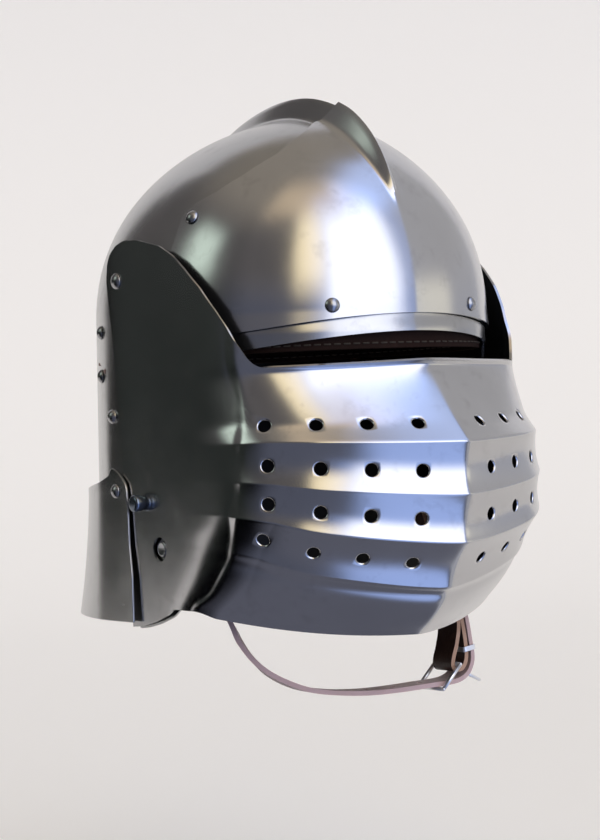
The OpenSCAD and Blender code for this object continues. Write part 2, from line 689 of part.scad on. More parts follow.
// chin strap: places of the strap's middle line with the way its outer face looks, by hand
strap_depth = skull_sheet + nape_out(side_rivet_y, strap_rivet_z) + strap_t / 2 + 0.56;
function strap_at(side, z) =
    let (p = wall_rivet_p(side, side_rivet_y, strap_rivet_z), n = plan_dir(p))
    [[p.x - n.x * strap_depth, p.y - n.y * strap_depth, z], n];
strap_end_z = strap_rivet_z + 6;
// the places below were set for a skull of this half width, and move out with a wider one
strap_skull_w = 108;
strap_spread_x = 60;
function spread(x) = (skull_half_w - strap_skull_w) * max(-1, min(1, x / strap_spread_x));
function spread_out(p) = [p.x + spread(p.x), p.y, p.z];
function spread_route(route) = [for (q = route) [spread_out(q[0]), q[1]]];
// buckle: its upper bar carries the short strap's fold and the prong
bar_set = [83.2, -30, -213];
bar = spread_out(bar_set);
low_bar = spread_out([69.5, -30, -226.6]);
fold_r = wire_d / 2 + strap_t / 2 + 0.3;
short_route = concat([strap_at(1, strap_end_z), strap_at(1, strap_rivet_z)], spread_route([
    [[96.3, 48, -50], [0.97, 0.24, 0]], [[96.5, 28, -92], [1, 0.08, 0]],
    [[95, 4, -138], [1, 0, 0.06]], [[92.2, -13.5, -165], [1, 0, 0.06]], [[91.2, -20, -175], [1, 0, 0]],
    [[88.9, -26, -190], [0.96, 0, -0.25]], [[84.5, -29, -201], [0.9, 0, -0.4]],
    [[81, -30, -208.6], [0.95, 0, -0.3]], [[bar_set.x - fold_r, -30, bar_set.z], [1, 0, 0]],
    [[bar_set.x - fold_r * 0.71, -30, bar_set.z - fold_r * 0.71], [0.71, 0, 0.71]],
    [[bar_set.x, -30, bar_set.z - fold_r], [0, 0, 1]], [[86.4, -30, -216.1], [-0.2, 0, 1]],
    [[89.3, -30, -213.8], [-0.8, 0, 0.6]], [[90.9, -30, -209.6], [-0.97, 0, 0.22]],
    [[91.3, -29.6, -204], [-1, 0, 0]], [[91.6, -28.6, -198], [-1, 0, 0]],
    [[92.2, -25.6, -189], [-0.99, 0, 0.1]], [[94.2, -20, -175], [-1, 0, 0]],
    [[95.2, -13.5, -165], [-1, 0, -0.06]], [[95.8, -9.5, -158], [-1, 0, -0.06]]
]));
long_route = concat([strap_at(-1, strap_end_z), strap_at(-1, strap_rivet_z)], spread_route([
    [[-93, 46.5, -50], [-0.93, 0.36, 0]], [[-87.2, 31, -78], [-0.9, 0.43, 0]],
    [[-80, 8, -119], [-0.86, 0.52, 0]], [[-74, -10, -152], [-0.82, 0.57, -0.1]],
    [[-69.6, -24, -177.5], [-0.79, 0.57, -0.2]], [[-66.5, -27, -187], [-0.74, 0.5, -0.45]],
    [[-58.5, -29, -198.4], [-0.58, 0.36, -0.73]], [[-45.5, -30, -208.7], [-0.4, 0.16, -0.9]],
    [[-26.5, -30, -217.2], [-0.28, 0.05, -0.95]], [[-5, -30, -221.6], [-0.12, 0, -1]],
    [[17, -30, -223.8], [-0.05, 0, -1]], [[40, -30, -224.3], [0, 0, -1]],
    [[62, -30, -223.8], [0.02, 0, -1]], [[76, -30, -223.6], [0.1, 0, -1]],
    [[85.5, -30, -222.4], [0.3, 0, -0.95]], [[91.8, -30, -219], [0.7, 0, -0.7]],
    [[95.2, -30, -213.5], [0.92, 0, -0.38]], [[96, -30, -208], [1, 0, 0]],
    [[95.5, -29.4, -202], [1, 0, 0]], [[95.4, -27, -190.5], [0.99, 0, -0.1]],
    [[97.3, -20, -175.5], [1, 0, 0]], [[97.6, -18.5, -172], [1, 0, 0]]
]));
// smooth line through the places of a route, with steps between each two
function ease(a, b, c, d, f) =
    0.5 * (2 * b + (c - a) * f + (2 * a - 5 * b + 4 * c - d) * f * f + (3 * b - a - 3 * c + d) * pow(f, 3));
function smoothed(route, k, steps) =
    let (last = len(route) - 1)
    concat(
        [for (i = [0:last - 1], s = [0:steps - 1])
            let (before = route[max(i - 1, 0)][k], after = route[min(i + 2, last)][k])
            ease(before, route[i][k], route[i + 1][k], after, s / steps)],
        [route[last][k]]
    );
// strap: a ribbon along a route; its width lies square to the route and to the way it faces
module ribbon(route, steps) {
    at = smoothed(route, 0, steps);
    face = smoothed(route, 1, steps);
    last = len(at) - 1;
    function run(i) = unit(at[min(i + 1, last)] - at[max(i - 1, 0)]);
    function out(i) = let (r = run(i)) unit(face[i] - (face[i] * r) * r);
    function edge(i, w, t) = at[i] + cross(run(i), out(i)) * w * strap_w / 2 + out(i) * t * strap_t / 2;
    sheet(
        [for (i = [0:last]) [edge(i, -1, 1), edge(i, 1, 1)]],
        [for (i = [0:last]) [edge(i, -1, -1), edge(i, 1, -1)]]
    );
}
strap_stack = skull_sheet + strap_t + nape_out(side_rivet_y, strap_rivet_z) + 1.65;
prong_dir = [0.893, 0, -0.45];
prong_play = 0.3;
fold_slot = prong_d + 3;
strap_hole_d = prong_d + 1.6;
// rivet that closes the short strap's loop
loop_p = spread_out([93.7, -13.5, -165]);
loop_n = [0.995, -0.055, -0.085];
loop_grip = strap_t * 2 + 0.5;
// trims a strap's end level with the lining's band
module strap_end() {
    translate([-150, -150, band_low - 0.4]) cube([300, 300, 40]);
}

module skull() {
    color("lightslategray") seated() difference() {
        skull_shell();
        for (side = sides) {
            drill(brow_rivet_p(side), plan_dir(brow_rivet_p(side)), rivet_d + 2 * fit);
            drill(corner_p(side), side_n_at(corner_y, corner_z, side < 0), rivet_d + 2 * fit);
            across(side, pivot_y, pivot_z, wall_cut_in, wall_cut_out, pivot_d + 2 * fit);
            across(side, lame_y, lame_z, wall_cut_in, wall_cut_out, lame_rivet_d + 2 * fit);
        }
        for (p = concat(lining_rivet_ps, strap_rivet_ps)) drill(p, plan_dir(p), rivet_d + 2 * fit);
        across(-1, stud_y, stud_z, wall_cut_in, wall_cut_out, stud_d + 1);
        across(-1, spring_rivet_y, spring_rivet_z, wall_cut_in, wall_cut_out, rivet_d + 2 * fit);
    }
}

module brow_plate() {
    color("lightsteelblue") seated() difference() {
        brow_plate_shell();
        for (side = sides) {
            drill(brow_rivet_p(side), plan_dir(brow_rivet_p(side)), rivet_d + 2 * fit);
            drill(corner_p(side), side_n_at(corner_y, corner_z, side < 0), rivet_d + 2 * fit);
        }
    }
}

module visor() {
    color("silver") seated() difference() {
        visor_shell();
        vents();
        for (side = sides) across(side, pivot_y, pivot_z, pivot_cut_in, wall_cut_out, pivot_d + pivot_play);
        across(-1, stud_y, stud_z, wing_cut_in, wall_cut_out, stud_hole_d);
        across(-1, peg_y, peg_z, wing_cut_in, wall_cut_out, rivet_d + 2 * fit);
    }
}

module neck_lame() {
    color("slategray") seated() difference() {
        neck_lame_shell();
        for (side = sides)
            across(side, lame_y, lame_z, wing_cut_in, wall_cut_out, lame_rivet_d + pivot_play);
    }
}

module pivot_rivets() {
    color("dimgray") seated() for (side = sides) {
        face = wing_face(pivot_y, pivot_z) + pivot_head_gap;
        inner = skull_in_pivot - washer_t - 0.1;
        across(side, pivot_y, pivot_z, inner, face + 0.5, pivot_d);
        across(side, pivot_y, pivot_z, skull_at_pivot, wing_in_pivot - shoulder_gap, shoulder_d);
        across(side, pivot_y, pivot_z, inner - 0.8, inner, pivot_d * 1.6);
        translate([side * face, pivot_y, pivot_z]) rotate([0, side * 90, 0])
            dome(pivot_head_d, rivet_head_h);
    }
}

module pivot_washers() {
    color("gray") seated() for (side = sides) difference() {
        across(side, pivot_y, pivot_z, skull_in_pivot - washer_t, skull_in_pivot, washer_d + 2);
        across(side, pivot_y, pivot_z, wall_cut_in, wall_cut_out, pivot_d + 2 * fit);
    }
}

module brow_rivets() {
    color("dimgray") seated() for (side = sides) {
        p = brow_rivet_p(side);
        n = plan_dir(p);
        rivet(p + n * plate_face, n, plate_face + depth_to(p, n, band_in) + washer_t + 0.4);
    }
}

module corner_rivets() {
    color("dimgray") seated() for (side = sides) {
        n = side_n_at(corner_y, corner_z, side < 0);
        rivet(corner_p(side) + n * plate_face, n, plate_face + skull_sheet + 0.5);
    }
}

module lining_rivets() {
    color("dimgray") seated() for (p = lining_rivet_ps) {
        rivet(p, plan_dir(p), depth_to(p, plan_dir(p), band_in) + washer_t + 0.4);
    }
}

module lining_washers() {
    color("gray") seated() {
        for (side = sides) {
            p = brow_rivet_p(side);
            washer(p, plan_dir(p), depth_to(p, plan_dir(p), band_in) + 0.3, washer_d, rivet_d + 2 * fit);
        }
        for (p = lining_rivet_ps) {
            washer(p, plan_dir(p), depth_to(p, plan_dir(p), band_in) + 0.3, washer_d, rivet_d + 2 * fit);
        }
    }
}

lame_in = side_w(lame_y) + lame_gap + lame_out(lame_y, lame_z);
module lame_rivets() {
    color("dimgray") seated() for (side = sides) {
        face = lame_in + lame_sheet + 0.3;
        inner = side_w(lame_y + 4) - skull_sheet - 0.3;
        across(side, lame_y, lame_z, inner, face + 0.5, lame_rivet_d);
        across(side, lame_y, lame_z, inner - burr_h, inner + 0.1, lame_rivet_d * 1.6);
        translate([side * face, lame_y, lame_z]) rotate([0, side * 90, 0])
            dome(rivet_head_d, rivet_head_h);
    }
}

module lame_spacers() {
    color("gray") seated() for (side = sides) difference() {
        across(side, lame_y, lame_z, side_w(lame_y - 4) + 0.3, lame_in - 0.4, lame_rivet_d + 3.4);
        across(side, lame_y, lame_z, wall_cut_in, wall_cut_out, lame_rivet_d + 2 * fit);
    }
}

module lifting_peg() {
    face = wing_face(peg_y + peg_d / 2, peg_z) + 0.1;
    inner = wing_face(peg_y - peg_d / 2, peg_z) - visor_sheet;
    color("lightgray") seated() {
        across(-1, peg_y, peg_z, inner, face + 1, rivet_d);
        translate([-face, peg_y, peg_z]) rotate([0, -90, 0]) rotate_extrude($fn = 48) polygon([
            [0, 0], [peg_d / 2 - 0.8, 0], [peg_d / 2 - 0.8, 1.6], [peg_d / 2, 2.4],
            [peg_d / 2, peg_out - 1.6], [peg_d / 2 - 0.5, peg_out - 0.5],
            [peg_d / 2 - 1.6, peg_out], [0, peg_out]
        ]);
    }
}

module catch_stud() {
    color("silver") seated() difference() {
        union() {
            inner = -leaf_b.x - leaf_t / 2 - 0.2;
            across(-1, stud_y, stud_z, inner + leaf_t + 0.4, stud_face, stud_d);
            across(-1, stud_y, stud_z, inner, stud_face - 2, rivet_d);
            across(-1, stud_y, stud_z, inner - burr_h, inner, rivet_d * 1.7);
        }
    }
}

module catch_leaf_spring() {
    color("darkgray") seated() difference() {
        on_leaf() translate([0, 0, -leaf_t / 2]) linear_extrude(leaf_t) {
            translate([0, -leaf_w / 2]) square([leaf_len + leaf_over - leaf_w / 2, leaf_w]);
            circle(d = leaf_w, $fn = facets);
            translate([leaf_len + leaf_over - leaf_w / 2, 0]) circle(d = leaf_w, $fn = facets);
        }
        across(-1, stud_y, stud_z, wall_cut_in, wall_cut_out, rivet_d + 2 * fit);
        across(-1, spring_rivet_y, spring_rivet_z, wall_cut_in, wall_cut_out, rivet_d + 2 * fit);
    }
}

module catch_spring_rivet() {
    wall = side_w(spring_rivet_y - rivet_head_d / 2) + nape_out(spring_rivet_y, spring_rivet_z);
    p = [-wall, spring_rivet_y, spring_rivet_z];
    color("dimgray") seated() rivet(p, [-1, 0, 0], -p.x + leaf_a.x + leaf_t + 0.2);
}

module lining_band() {
    n = 72;
    color("saddlebrown") seated() difference() {
        translate([0, 0, band_low]) linear_extrude(band_h) difference() {
            polygon([for (k = [0:n - 1]) plan_pt(360 * k / n, band_out)]);
            polygon([for (k = [0:n - 1]) plan_pt(360 * k / n, band_in)]);
        }
        for (side = sides) drill(brow_rivet_p(side), plan_dir(brow_rivet_p(side)), rivet_d + 2 * fit);
        for (p = lining_rivet_ps) drill(p, plan_dir(p), rivet_d + 2 * fit);
    }
}

// tongues: from inside the band's top edge up to the opening at the crown
tongue_lap = 6.5;
tongue_low = band_low + band_h - tongue_lap;
tongue_out = band_in - 0.9;
tongue_rows = 8;
tongue_cols = 5;
hole_r = crown_r + 6;
lace_hole_d = lace_d + 3;
function tongue_pt(c, f, g, off) =
    let (
        pitch = 360 / tongues,
        a = pitch * (c + (f - 0.5) * (0.88 - 0.1 * sin(180 * g))) + 90,
        edge = norm(plan_pt(a, tongue_out + off)),
        r = crown_r + (edge - crown_r) * cos(90 * g),
        top = seat_z + tongue_t + off * sin(90 * g)
    )
    [r * cos(a), r * sin(a), tongue_low + (top - tongue_low) * sin(90 * g)];
module lining_tongues() {
    color("sienna") seated() difference() {
        for (c = [0:tongues - 1]) sheet(
            [for (f = [0:tongue_cols - 1]) [for (g = [tongue_rows:-1:0])
                tongue_pt(c, f / (tongue_cols - 1), g / tongue_rows, 0)]],
            [for (f = [0:tongue_cols - 1]) [for (g = [tongue_rows:-1:0])
                tongue_pt(c, f / (tongue_cols - 1), g / tongue_rows, -tongue_t)]]
        );
        for (c = [0:tongues - 1], q = [-0.25, 0.25]) rotate([0, 0, 90 + (c + q) * 360 / tongues])
            translate([hole_r, 0, seat_z - 20]) cylinder(d = lace_hole_d, h = 40, $fn = facets);
    }
}

// lace: down through one hole of each tongue and up through the next
module crown_lace() {
    turns = 16;
    ring = turns * tongues;
    corners = 6;
    sag = (seat_z - tongue_low) * (1 - cos(90 / tongue_rows)) * (hole_r - crown_r)
        / ((skull_half_w + tongue_out - crown_r) * sin(90 / tongue_rows));
    mid = seat_z + tongue_t / 2 - sag * 0.9;
    weave = tongue_t / 2 + lace_d / 2 + 0.3;
    function lace_at(k) =
        let (a = 90 + 360 * k / ring, wave = -weave * max(-1, min(1, 2.2 * cos(360 * k / turns))))
        [hole_r * cos(a), hole_r * sin(a), mid + wave];
    function lace_pt(k, m) =
        let (
            run = unit(lace_at(k + 1) - lace_at(k - 1)),
            out = unit(cross(run, [0, 0, 1])),
            up = cross(out, run),
            b = 360 * m / corners
        )
        lace_at(k) + (out * cos(b) + up * sin(b)) * lace_d / 2;
    color("tan") seated() polyhedron(
        points = [for (k = [0:ring - 1], m = [0:corners - 1]) lace_pt(k, m)],
        faces = [for (k = [0:ring - 1], m = [0:corners - 1]) let (
            a = k * corners + m,
            b = k * corners + (m + 1) % corners,
            c = ((k + 1) % ring) * corners + (m + 1) % corners,
            d = ((k + 1) % ring) * corners + m
        ) each [[a, b, c], [a, c, d]]]
    );
}

module strap_hole(p, n, d) {
    drill(p, n, d, -4, 4);
}

module chin_strap_long() {
    color("rosybrown") seated() difference() {
        ribbon(long_route, 3);
        strap_hole(long_route[1][0], long_route[1][1], rivet_d + 2 * fit);
        strap_end();
        strap_hole(bar + prong_dir * 11.5, prong_dir, strap_hole_d);
        for (x = [20, 40, 60]) strap_hole([x + spread(x), bar.y, -224], [0, 0, 1], strap_hole_d);
    }
}

module chin_strap_short() {
    color("saddlebrown") seated() difference() {
        ribbon(short_route, 3);
        strap_hole(short_route[1][0], short_route[1][1], rivet_d + 2 * fit);
        strap_hole(loop_p, loop_n, rivet_d + 2 * fit);
        strap_end();
        translate([bar.x - 6, bar.y - fold_slot / 2, bar.z - 6]) cube([15, fold_slot, 10]);
    }
}

module strap_rivets() {
    color("dimgray") seated() {
        for (p = strap_rivet_ps) rivet(p, plan_dir(p), strap_stack + washer_t + 0.1);
        rivet(loop_p + loop_n * loop_grip / 2, loop_n, loop_grip, rivet_d, 6, 1);
    }
}

module strap_washers() {
    color("gray") seated() for (p = strap_rivet_ps) {
        washer(p, plan_dir(p), strap_stack, washer_d, rivet_d + 2 * fit);
    }
}

// bar of round wire between two places
module wire(a, b, d) {
    aimed(a, b - a) cylinder(d = d, h = norm(b - a), $fn = 24);
}
module wire_loop(ps, d) {
    for (k = [0:len(ps) - 1]) {
        wire(ps[k], ps[(k + 1) % len(ps)], d);
        translate(ps[k]) sphere(d = d * 1.02, $fn = 24);
    }
}

module buckle_frame() {
    w = [0, buckle_w / 2, 0];
    color("silver") seated() wire_loop([bar - w, bar + w, low_bar + w, low_bar - w], wire_d);
}

module buckle_prong() {
    eye_d = wire_d + prong_play + 2 * prong_d;
    color("silver") seated() difference() {
        union() {
            wire(bar + prong_dir * (wire_d / 2 + 0.4), bar + prong_dir * prong_len, prong_d);
            translate(bar) rotate([90, 0, 0])
                cylinder(d = eye_d - 1.2, h = prong_d, center = true, $fn = facets);
        }
        translate(bar) rotate([90, 0, 0])
            cylinder(d = wire_d + prong_play, h = buckle_w, center = true, $fn = facets);
    }
}

// keeper: a flat band round the loop and the long strap's end
keeper_p = spread_out([93.3, -29.6, -204]);
keeper_h = 3.2;
keeper_t = 1.1;
module strap_keeper() {
    inner = [2 * strap_t + 2.4, strap_w + 1.2];
    color("silver") seated() translate(keeper_p) rotate([0, -8, 0])
        translate([0, 0, -keeper_h / 2]) difference() {
        translate([-inner.x / 2 - keeper_t, -inner.y / 2 - keeper_t, 0])
            cube([inner.x + 2 * keeper_t, inner.y + 2 * keeper_t, keeper_h]);
        translate([-inner.x / 2, -inner.y / 2, -1]) cube([inner.x, inner.y, keeper_h + 2]);
    }
}

skull();
brow_plate();
visor();
neck_lame();
pivot_rivets();
pivot_washers();
brow_rivets();
corner_rivets();
lining_rivets();
lining_washers();
lame_rivets();
lame_spacers();
lifting_peg();
catch_stud();
catch_leaf_spring();
catch_spring_rivet();
lining_band();
lining_tongues();
crown_lace();
chin_strap_long();
chin_strap_short();
strap_rivets();
strap_washers();
buckle_frame();
buckle_prong();
strap_keeper();
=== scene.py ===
import bpy
import bmesh
import numpy as np
from math import acos, asin, degrees
from numpy import arange, array, concatenate, cos, interp, linspace, maximum, minimum, pi, radians, sign
from numpy import sin, sqrt, stack, where
from numpy.linalg import norm
from mathutils import Matrix, Vector


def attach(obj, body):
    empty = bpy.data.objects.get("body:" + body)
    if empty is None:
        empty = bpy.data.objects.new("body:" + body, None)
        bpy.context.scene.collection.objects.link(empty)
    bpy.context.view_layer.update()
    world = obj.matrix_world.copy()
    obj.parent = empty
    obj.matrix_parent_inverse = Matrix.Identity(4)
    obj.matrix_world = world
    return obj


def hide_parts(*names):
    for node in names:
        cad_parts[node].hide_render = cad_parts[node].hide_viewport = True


# The sallet in finer surfaces than its CAD model. The formulas work in millimetres from a datum on the
# skull's centre line; to_part() moves points to the part's frame, in metres.

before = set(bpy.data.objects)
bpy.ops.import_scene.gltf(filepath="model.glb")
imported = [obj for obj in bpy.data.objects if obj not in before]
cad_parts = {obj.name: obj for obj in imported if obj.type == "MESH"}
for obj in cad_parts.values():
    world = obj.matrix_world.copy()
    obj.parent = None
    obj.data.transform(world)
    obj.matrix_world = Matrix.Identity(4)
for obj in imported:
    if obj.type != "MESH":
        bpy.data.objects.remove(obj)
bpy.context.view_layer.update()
scene = bpy.context.scene
SEAT_Z = 98.4


def to_part(p):
    return (array(p, float) - array([0, 0, SEAT_Z])) / 1000


# ---- camera
cam_data = bpy.data.cameras.new("camera")
cam = bpy.data.objects.new("camera", cam_data)
scene.collection.objects.link(cam)
right, up = Vector((0.8123, -0.5816, -0.0441)), Vector((0.0359, -0.0257, 0.9990))
back = Vector((-0.5821, -0.8131, 0))
turn = Matrix((right, up, back)).transposed().to_4x4()
cam.matrix_world = Matrix.Translation((-0.8382, -1.1759, -0.1584)) @ turn
cam_data.lens, cam_data.sensor_width = 102.857, 36
cam_data.shift_x, cam_data.shift_y = -0.003, -0.0008
cam_data.clip_end = 50
scene.camera = cam

# ---- formulas of the shells
HALF_W, FRONT, REAR, TOP = 108.0, 115.0, 134.0, 113.0
KEEL_H, COMB_H, COMB_W, SHEET = 8.0, 12.0, 7.0, 1.6
BROW_DROP, CHEEK_DROP, NAPE_DROP, RIM_FLARE, NAPE_FLARE = 12.7, 177.0, 118.0, 1.6, 3.0
PLATE_LAP, PLATE_T, BROW_STRIP = 1.1, 1.6, 10.0
WING_GAP, SIGHT_GAP, SWELL, VALLEY, VISOR_T = 2.6, 14.5, 32.0, 3.2, 1.5
SIGHT_DROP, CHIN_DROP, LIP_OUT, VENT_D = 26.8, 184.0, 1.5, 7.0
PIVOT_Y, PIVOT_Z = 19.0, 25.0
LAME_T, LAME_DROP, LAME_FLARE = 1.5, 173.0, 15.0
PLAN_N, SIDE_N, KEEL_W, KEEL_SHARE = 2.15, 2.1, 70.0, 0.25
WING_Y = 5.0
WING_OUT = HALF_W + WING_GAP + VISOR_T
SIGHT_FRONT = FRONT + SIGHT_GAP
CREST_FRONT = SIGHT_FRONT + SWELL
CRESTS = [(-75.8, 0), (-105, -1), (-131.8, -5.5), (-157, -22.5)]
CHIN_BACK = -51.5
COMB_WIDE = [(29, .3), (38, .62), (52, 1), (150, 1)]
COMB_LINE = [
    (30, 0), (33, .12), (37, .3), (43, .56), (51, .8), (61, 1), (80, 1), (90, .93), (100, .76), (113, .62),
    (130, .36), (150, 0),
]
CHEEK_LINE = [
    (-68, .12), (-62, .3), (-52, .6), (-40, .84), (-30, .915), (-20, .957), (-8, .98), (4, .994), (14, 1),
]
PLATE_LINE = [
    (90, 67), (94, 70), (102, 64), (114, 58.5), (126, 57.5), (136, 59), (143, 63.5), (147.5, 65.5),
    (152, 61), (157.6, 55), (163, 42), (167.5, 22),
]
SHARP = [(-184, 42), (-157, 12), (-131.8, 0)]
FULL = [
    (-184, 7), (-157, 5.8), (-143.8, 5.6), (-131.8, 5.3), (-105, 5.1), (-75.8, 4.8), (-64.5, 4.5),
    (-26.8, 5.3),
]
EMBOSS_AT = [
    (-162, -42), (-156, -57), (-144, -68), (-134, -76), (-120, -82), (-98, -88), (-76, -89), (-50, -86),
    (-26, -81),
]
WING_EDGE = [
    (-91, -30.4), (-88.6, -24), (-82.5, -13.5), (-73, 1.9), (-62.4, 15.8), (-50, 27.5), (-40, 35.5),
    (-27, 42), (-5, 47), (9, 48), (18, 46), (26, 41.5), (31, 36), (33, 25),
]
EDGE_RISE = [(-130, 0)] + [(y, z + 30.4) for y, z in WING_EDGE]
WING_BACK = [(-180, 17), (-90, 20.5), (-60, 22), (-40, 23.5), (-12, 27), (18, 32), (25, 33), (48, 33)]
WING_FOOT = [
    (-50, -165.2), (-40, -165), (-30, -164.4), (-25.6, -164.5), (-19, -168.2), (-7, -172.1), (3, -174.3),
    (11, -175.5), (33, -176.5),
]
LAME_TOP = [
    (14, -93), (17, -88.9), (20, -85.2), (24, -83.6), (29, -84.5), (34, -88), (50, -92), (75, -95),
    (134, -99),
]
LAME_FRONT = [(-181, 10), (-146, 10.5), (-128, 13), (-109, 13.6), (-96, 14.7), (-89, 17.4), (-83, 23)]


def look(v, table):
    return interp(v, [a for a, b in table], [b for a, b in table])


def curve(v, table, soft=0.0):
    """The table as a line rounded over about soft units each way."""
    if not soft:
        return look(v, table)
    taps = ((-1, .15), (-.5, .22), (0, .26), (.5, .22), (1, .15))
    return sum(look(array(v) + soft * d, table) * w for d, w in taps)


def clamp(v, low=0.0, high=1.0):
    return minimum(high, maximum(low, v))


def smooth(v):
    c = clamp(v)
    return c * c * (3 - 2 * c)


def mix(a, b, f):
    return a + (b - a) * f


def pw(v, e):
    return sign(v) * abs(v) ** e


def points(*xyz):
    return stack(np.broadcast_arrays(*xyz), -1)


def unit(v):
    return v / norm(v, axis=-1, keepdims=True)


def hinge(v, e):
    """1 - |x| / w with its ends rounded over e: a ridge that isn't a knife edge."""
    return 0.5 * (v + sqrt(v * v + e * e)) - 0.5 * e * (1 - clamp(v))


def bowl(u, t, off=0.0):
    cu, su = cos(radians(u)), sin(radians(u))
    ct, st = cos(radians(t)), maximum(sin(radians(t)), 0)
    x = (HALF_W + off) * pw(cu, 2 / PLAN_N)
    share = maximum(su, 0) ** (2 / PLAN_N)
    ax = sqrt(x * x + 0.2)
    keel = KEEL_H * clamp(1 - ax / KEEL_W) ** 1.5 * (KEEL_SHARE + (1 - KEEL_SHARE) * st ** 1.5)
    wide = COMB_W * curve(t, COMB_WIDE, 3)
    comb = COMB_H * hinge(1 - ax / wide, 0.12) * curve(t, COMB_LINE, 3)
    reach = where(ct > 0, FRONT, REAR) + off
    return points(x, -(share * reach + keel + comb) * pw(ct, 2 / SIDE_N),
                  (share * (TOP + off) + keel + comb) * st ** (2 / SIDE_N))


def side_w(y, off=0.0):
    b = where(y < 0, FRONT, REAR) + off
    return (HALF_W + off) * (1 - clamp(abs(y) / b) ** PLAN_N) ** (1 / PLAN_N)


def bowl_w(y, z, off=0.0):
    reach = where(y < 0, FRONT, REAR) + off
    g = (abs(y) / reach) ** SIDE_N + (maximum(z, 0) / (TOP + off)) ** SIDE_N
    return (HALF_W + off) * (1 - clamp(g) ** (PLAN_N / SIDE_N)) ** (1 / PLAN_N)


def u_of(x):
    return degrees(acos(min(1, x / HALF_W) ** (PLAN_N / 2)))


def rim_z(x):
    return -BROW_DROP - 7.5 * (x / 87) ** 2


def rim_out(z):
    return RIM_FLARE * smooth((-z - BROW_DROP + BROW_STRIP) / BROW_STRIP)


def nape_out(y, z):
    return NAPE_FLARE * clamp(-z / NAPE_DROP) * smooth((y - 15) / 40)


def plan_dir(x, y):
    b = where(y < 0, FRONT, REAR)
    return unit(points(pw(x / HALF_W, PLAN_N - 1) / HALF_W, pw(y / b, PLAN_N - 1) / b, 0 * x))


def plan_pt(a, off):
    b = where(sin(a) < 0, FRONT, REAR) + off
    r = ((abs(cos(a)) / (HALF_W + off)) ** PLAN_N + (abs(sin(a)) / b) ** PLAN_N) ** (-1 / PLAN_N)
    return r * cos(a), r * sin(a)


def low_z(x, y):
    side = -maximum(curve(y, CHEEK_LINE, 1.5) * CHEEK_DROP, -rim_z(x))
    nape = mix(-NAPE_DROP, -look(y, CHEEK_LINE) * CHEEK_DROP, smooth((36 - y) / 22))
    return where(y < CHEEK_LINE[0][0], rim_z(x), where(y < 0, side, nape))


# ---- mesh helpers
def mesh_object(name, verts, faces):
    me = bpy.data.meshes.new(name)
    me.from_pydata([tuple(v) for v in verts], [], faces)
    me.update()
    o = bpy.data.objects.new(name, me)
    scene.collection.objects.link(o)
    return o


def ride(o, body, replaces):
    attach(o, body)
    if replaces:
        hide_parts(*replaces)
    return o


def add(name, verts, faces, mat, replaces=(), body="helmet"):
    o = mesh_object(name, to_part(verts), faces)
    o.data.shade_smooth()
    o.data.materials.append(mat)
    return ride(o, body, replaces)


def bevel(o, width, segments=2, angle=radians(40)):
    b = o.modifiers.new("edges", "BEVEL")
    b.width, b.segments, b.angle_limit = width, segments, angle
    b.limit_method = "ANGLE"
    b.harden_normals = True


def thicken(o, t, edge, inside=None, segments=2):
    """Gives a sheet its thickness, inwards from its faces; inside is another finish for the inner side."""
    m = o.modifiers.new("thickness", "SOLIDIFY")
    m.thickness = t / 1000
    m.offset = -1
    m.use_quality_normals = True
    if inside:
        o.data.materials.append(inside)
        m.material_offset = 1
        m.material_offset_rim = 0
    bevel(o, edge / 1000, segments)
    return o


def weld(o, dist=0.00003):
    bm = bmesh.new()
    bm.from_mesh(o.data)
    bmesh.ops.remove_doubles(bm, verts=bm.verts, dist=dist)
    bmesh.ops.recalc_face_normals(bm, faces=bm.faces)
    bm.to_mesh(o.data)
    bm.free()
    o.data.shade_smooth()


def between(a, b):
    """The quads between two closed rings of vertices."""
    return [(a[k], a[k + 1 - len(a)], b[k + 1 - len(a)], b[k]) for k in range(len(a))]


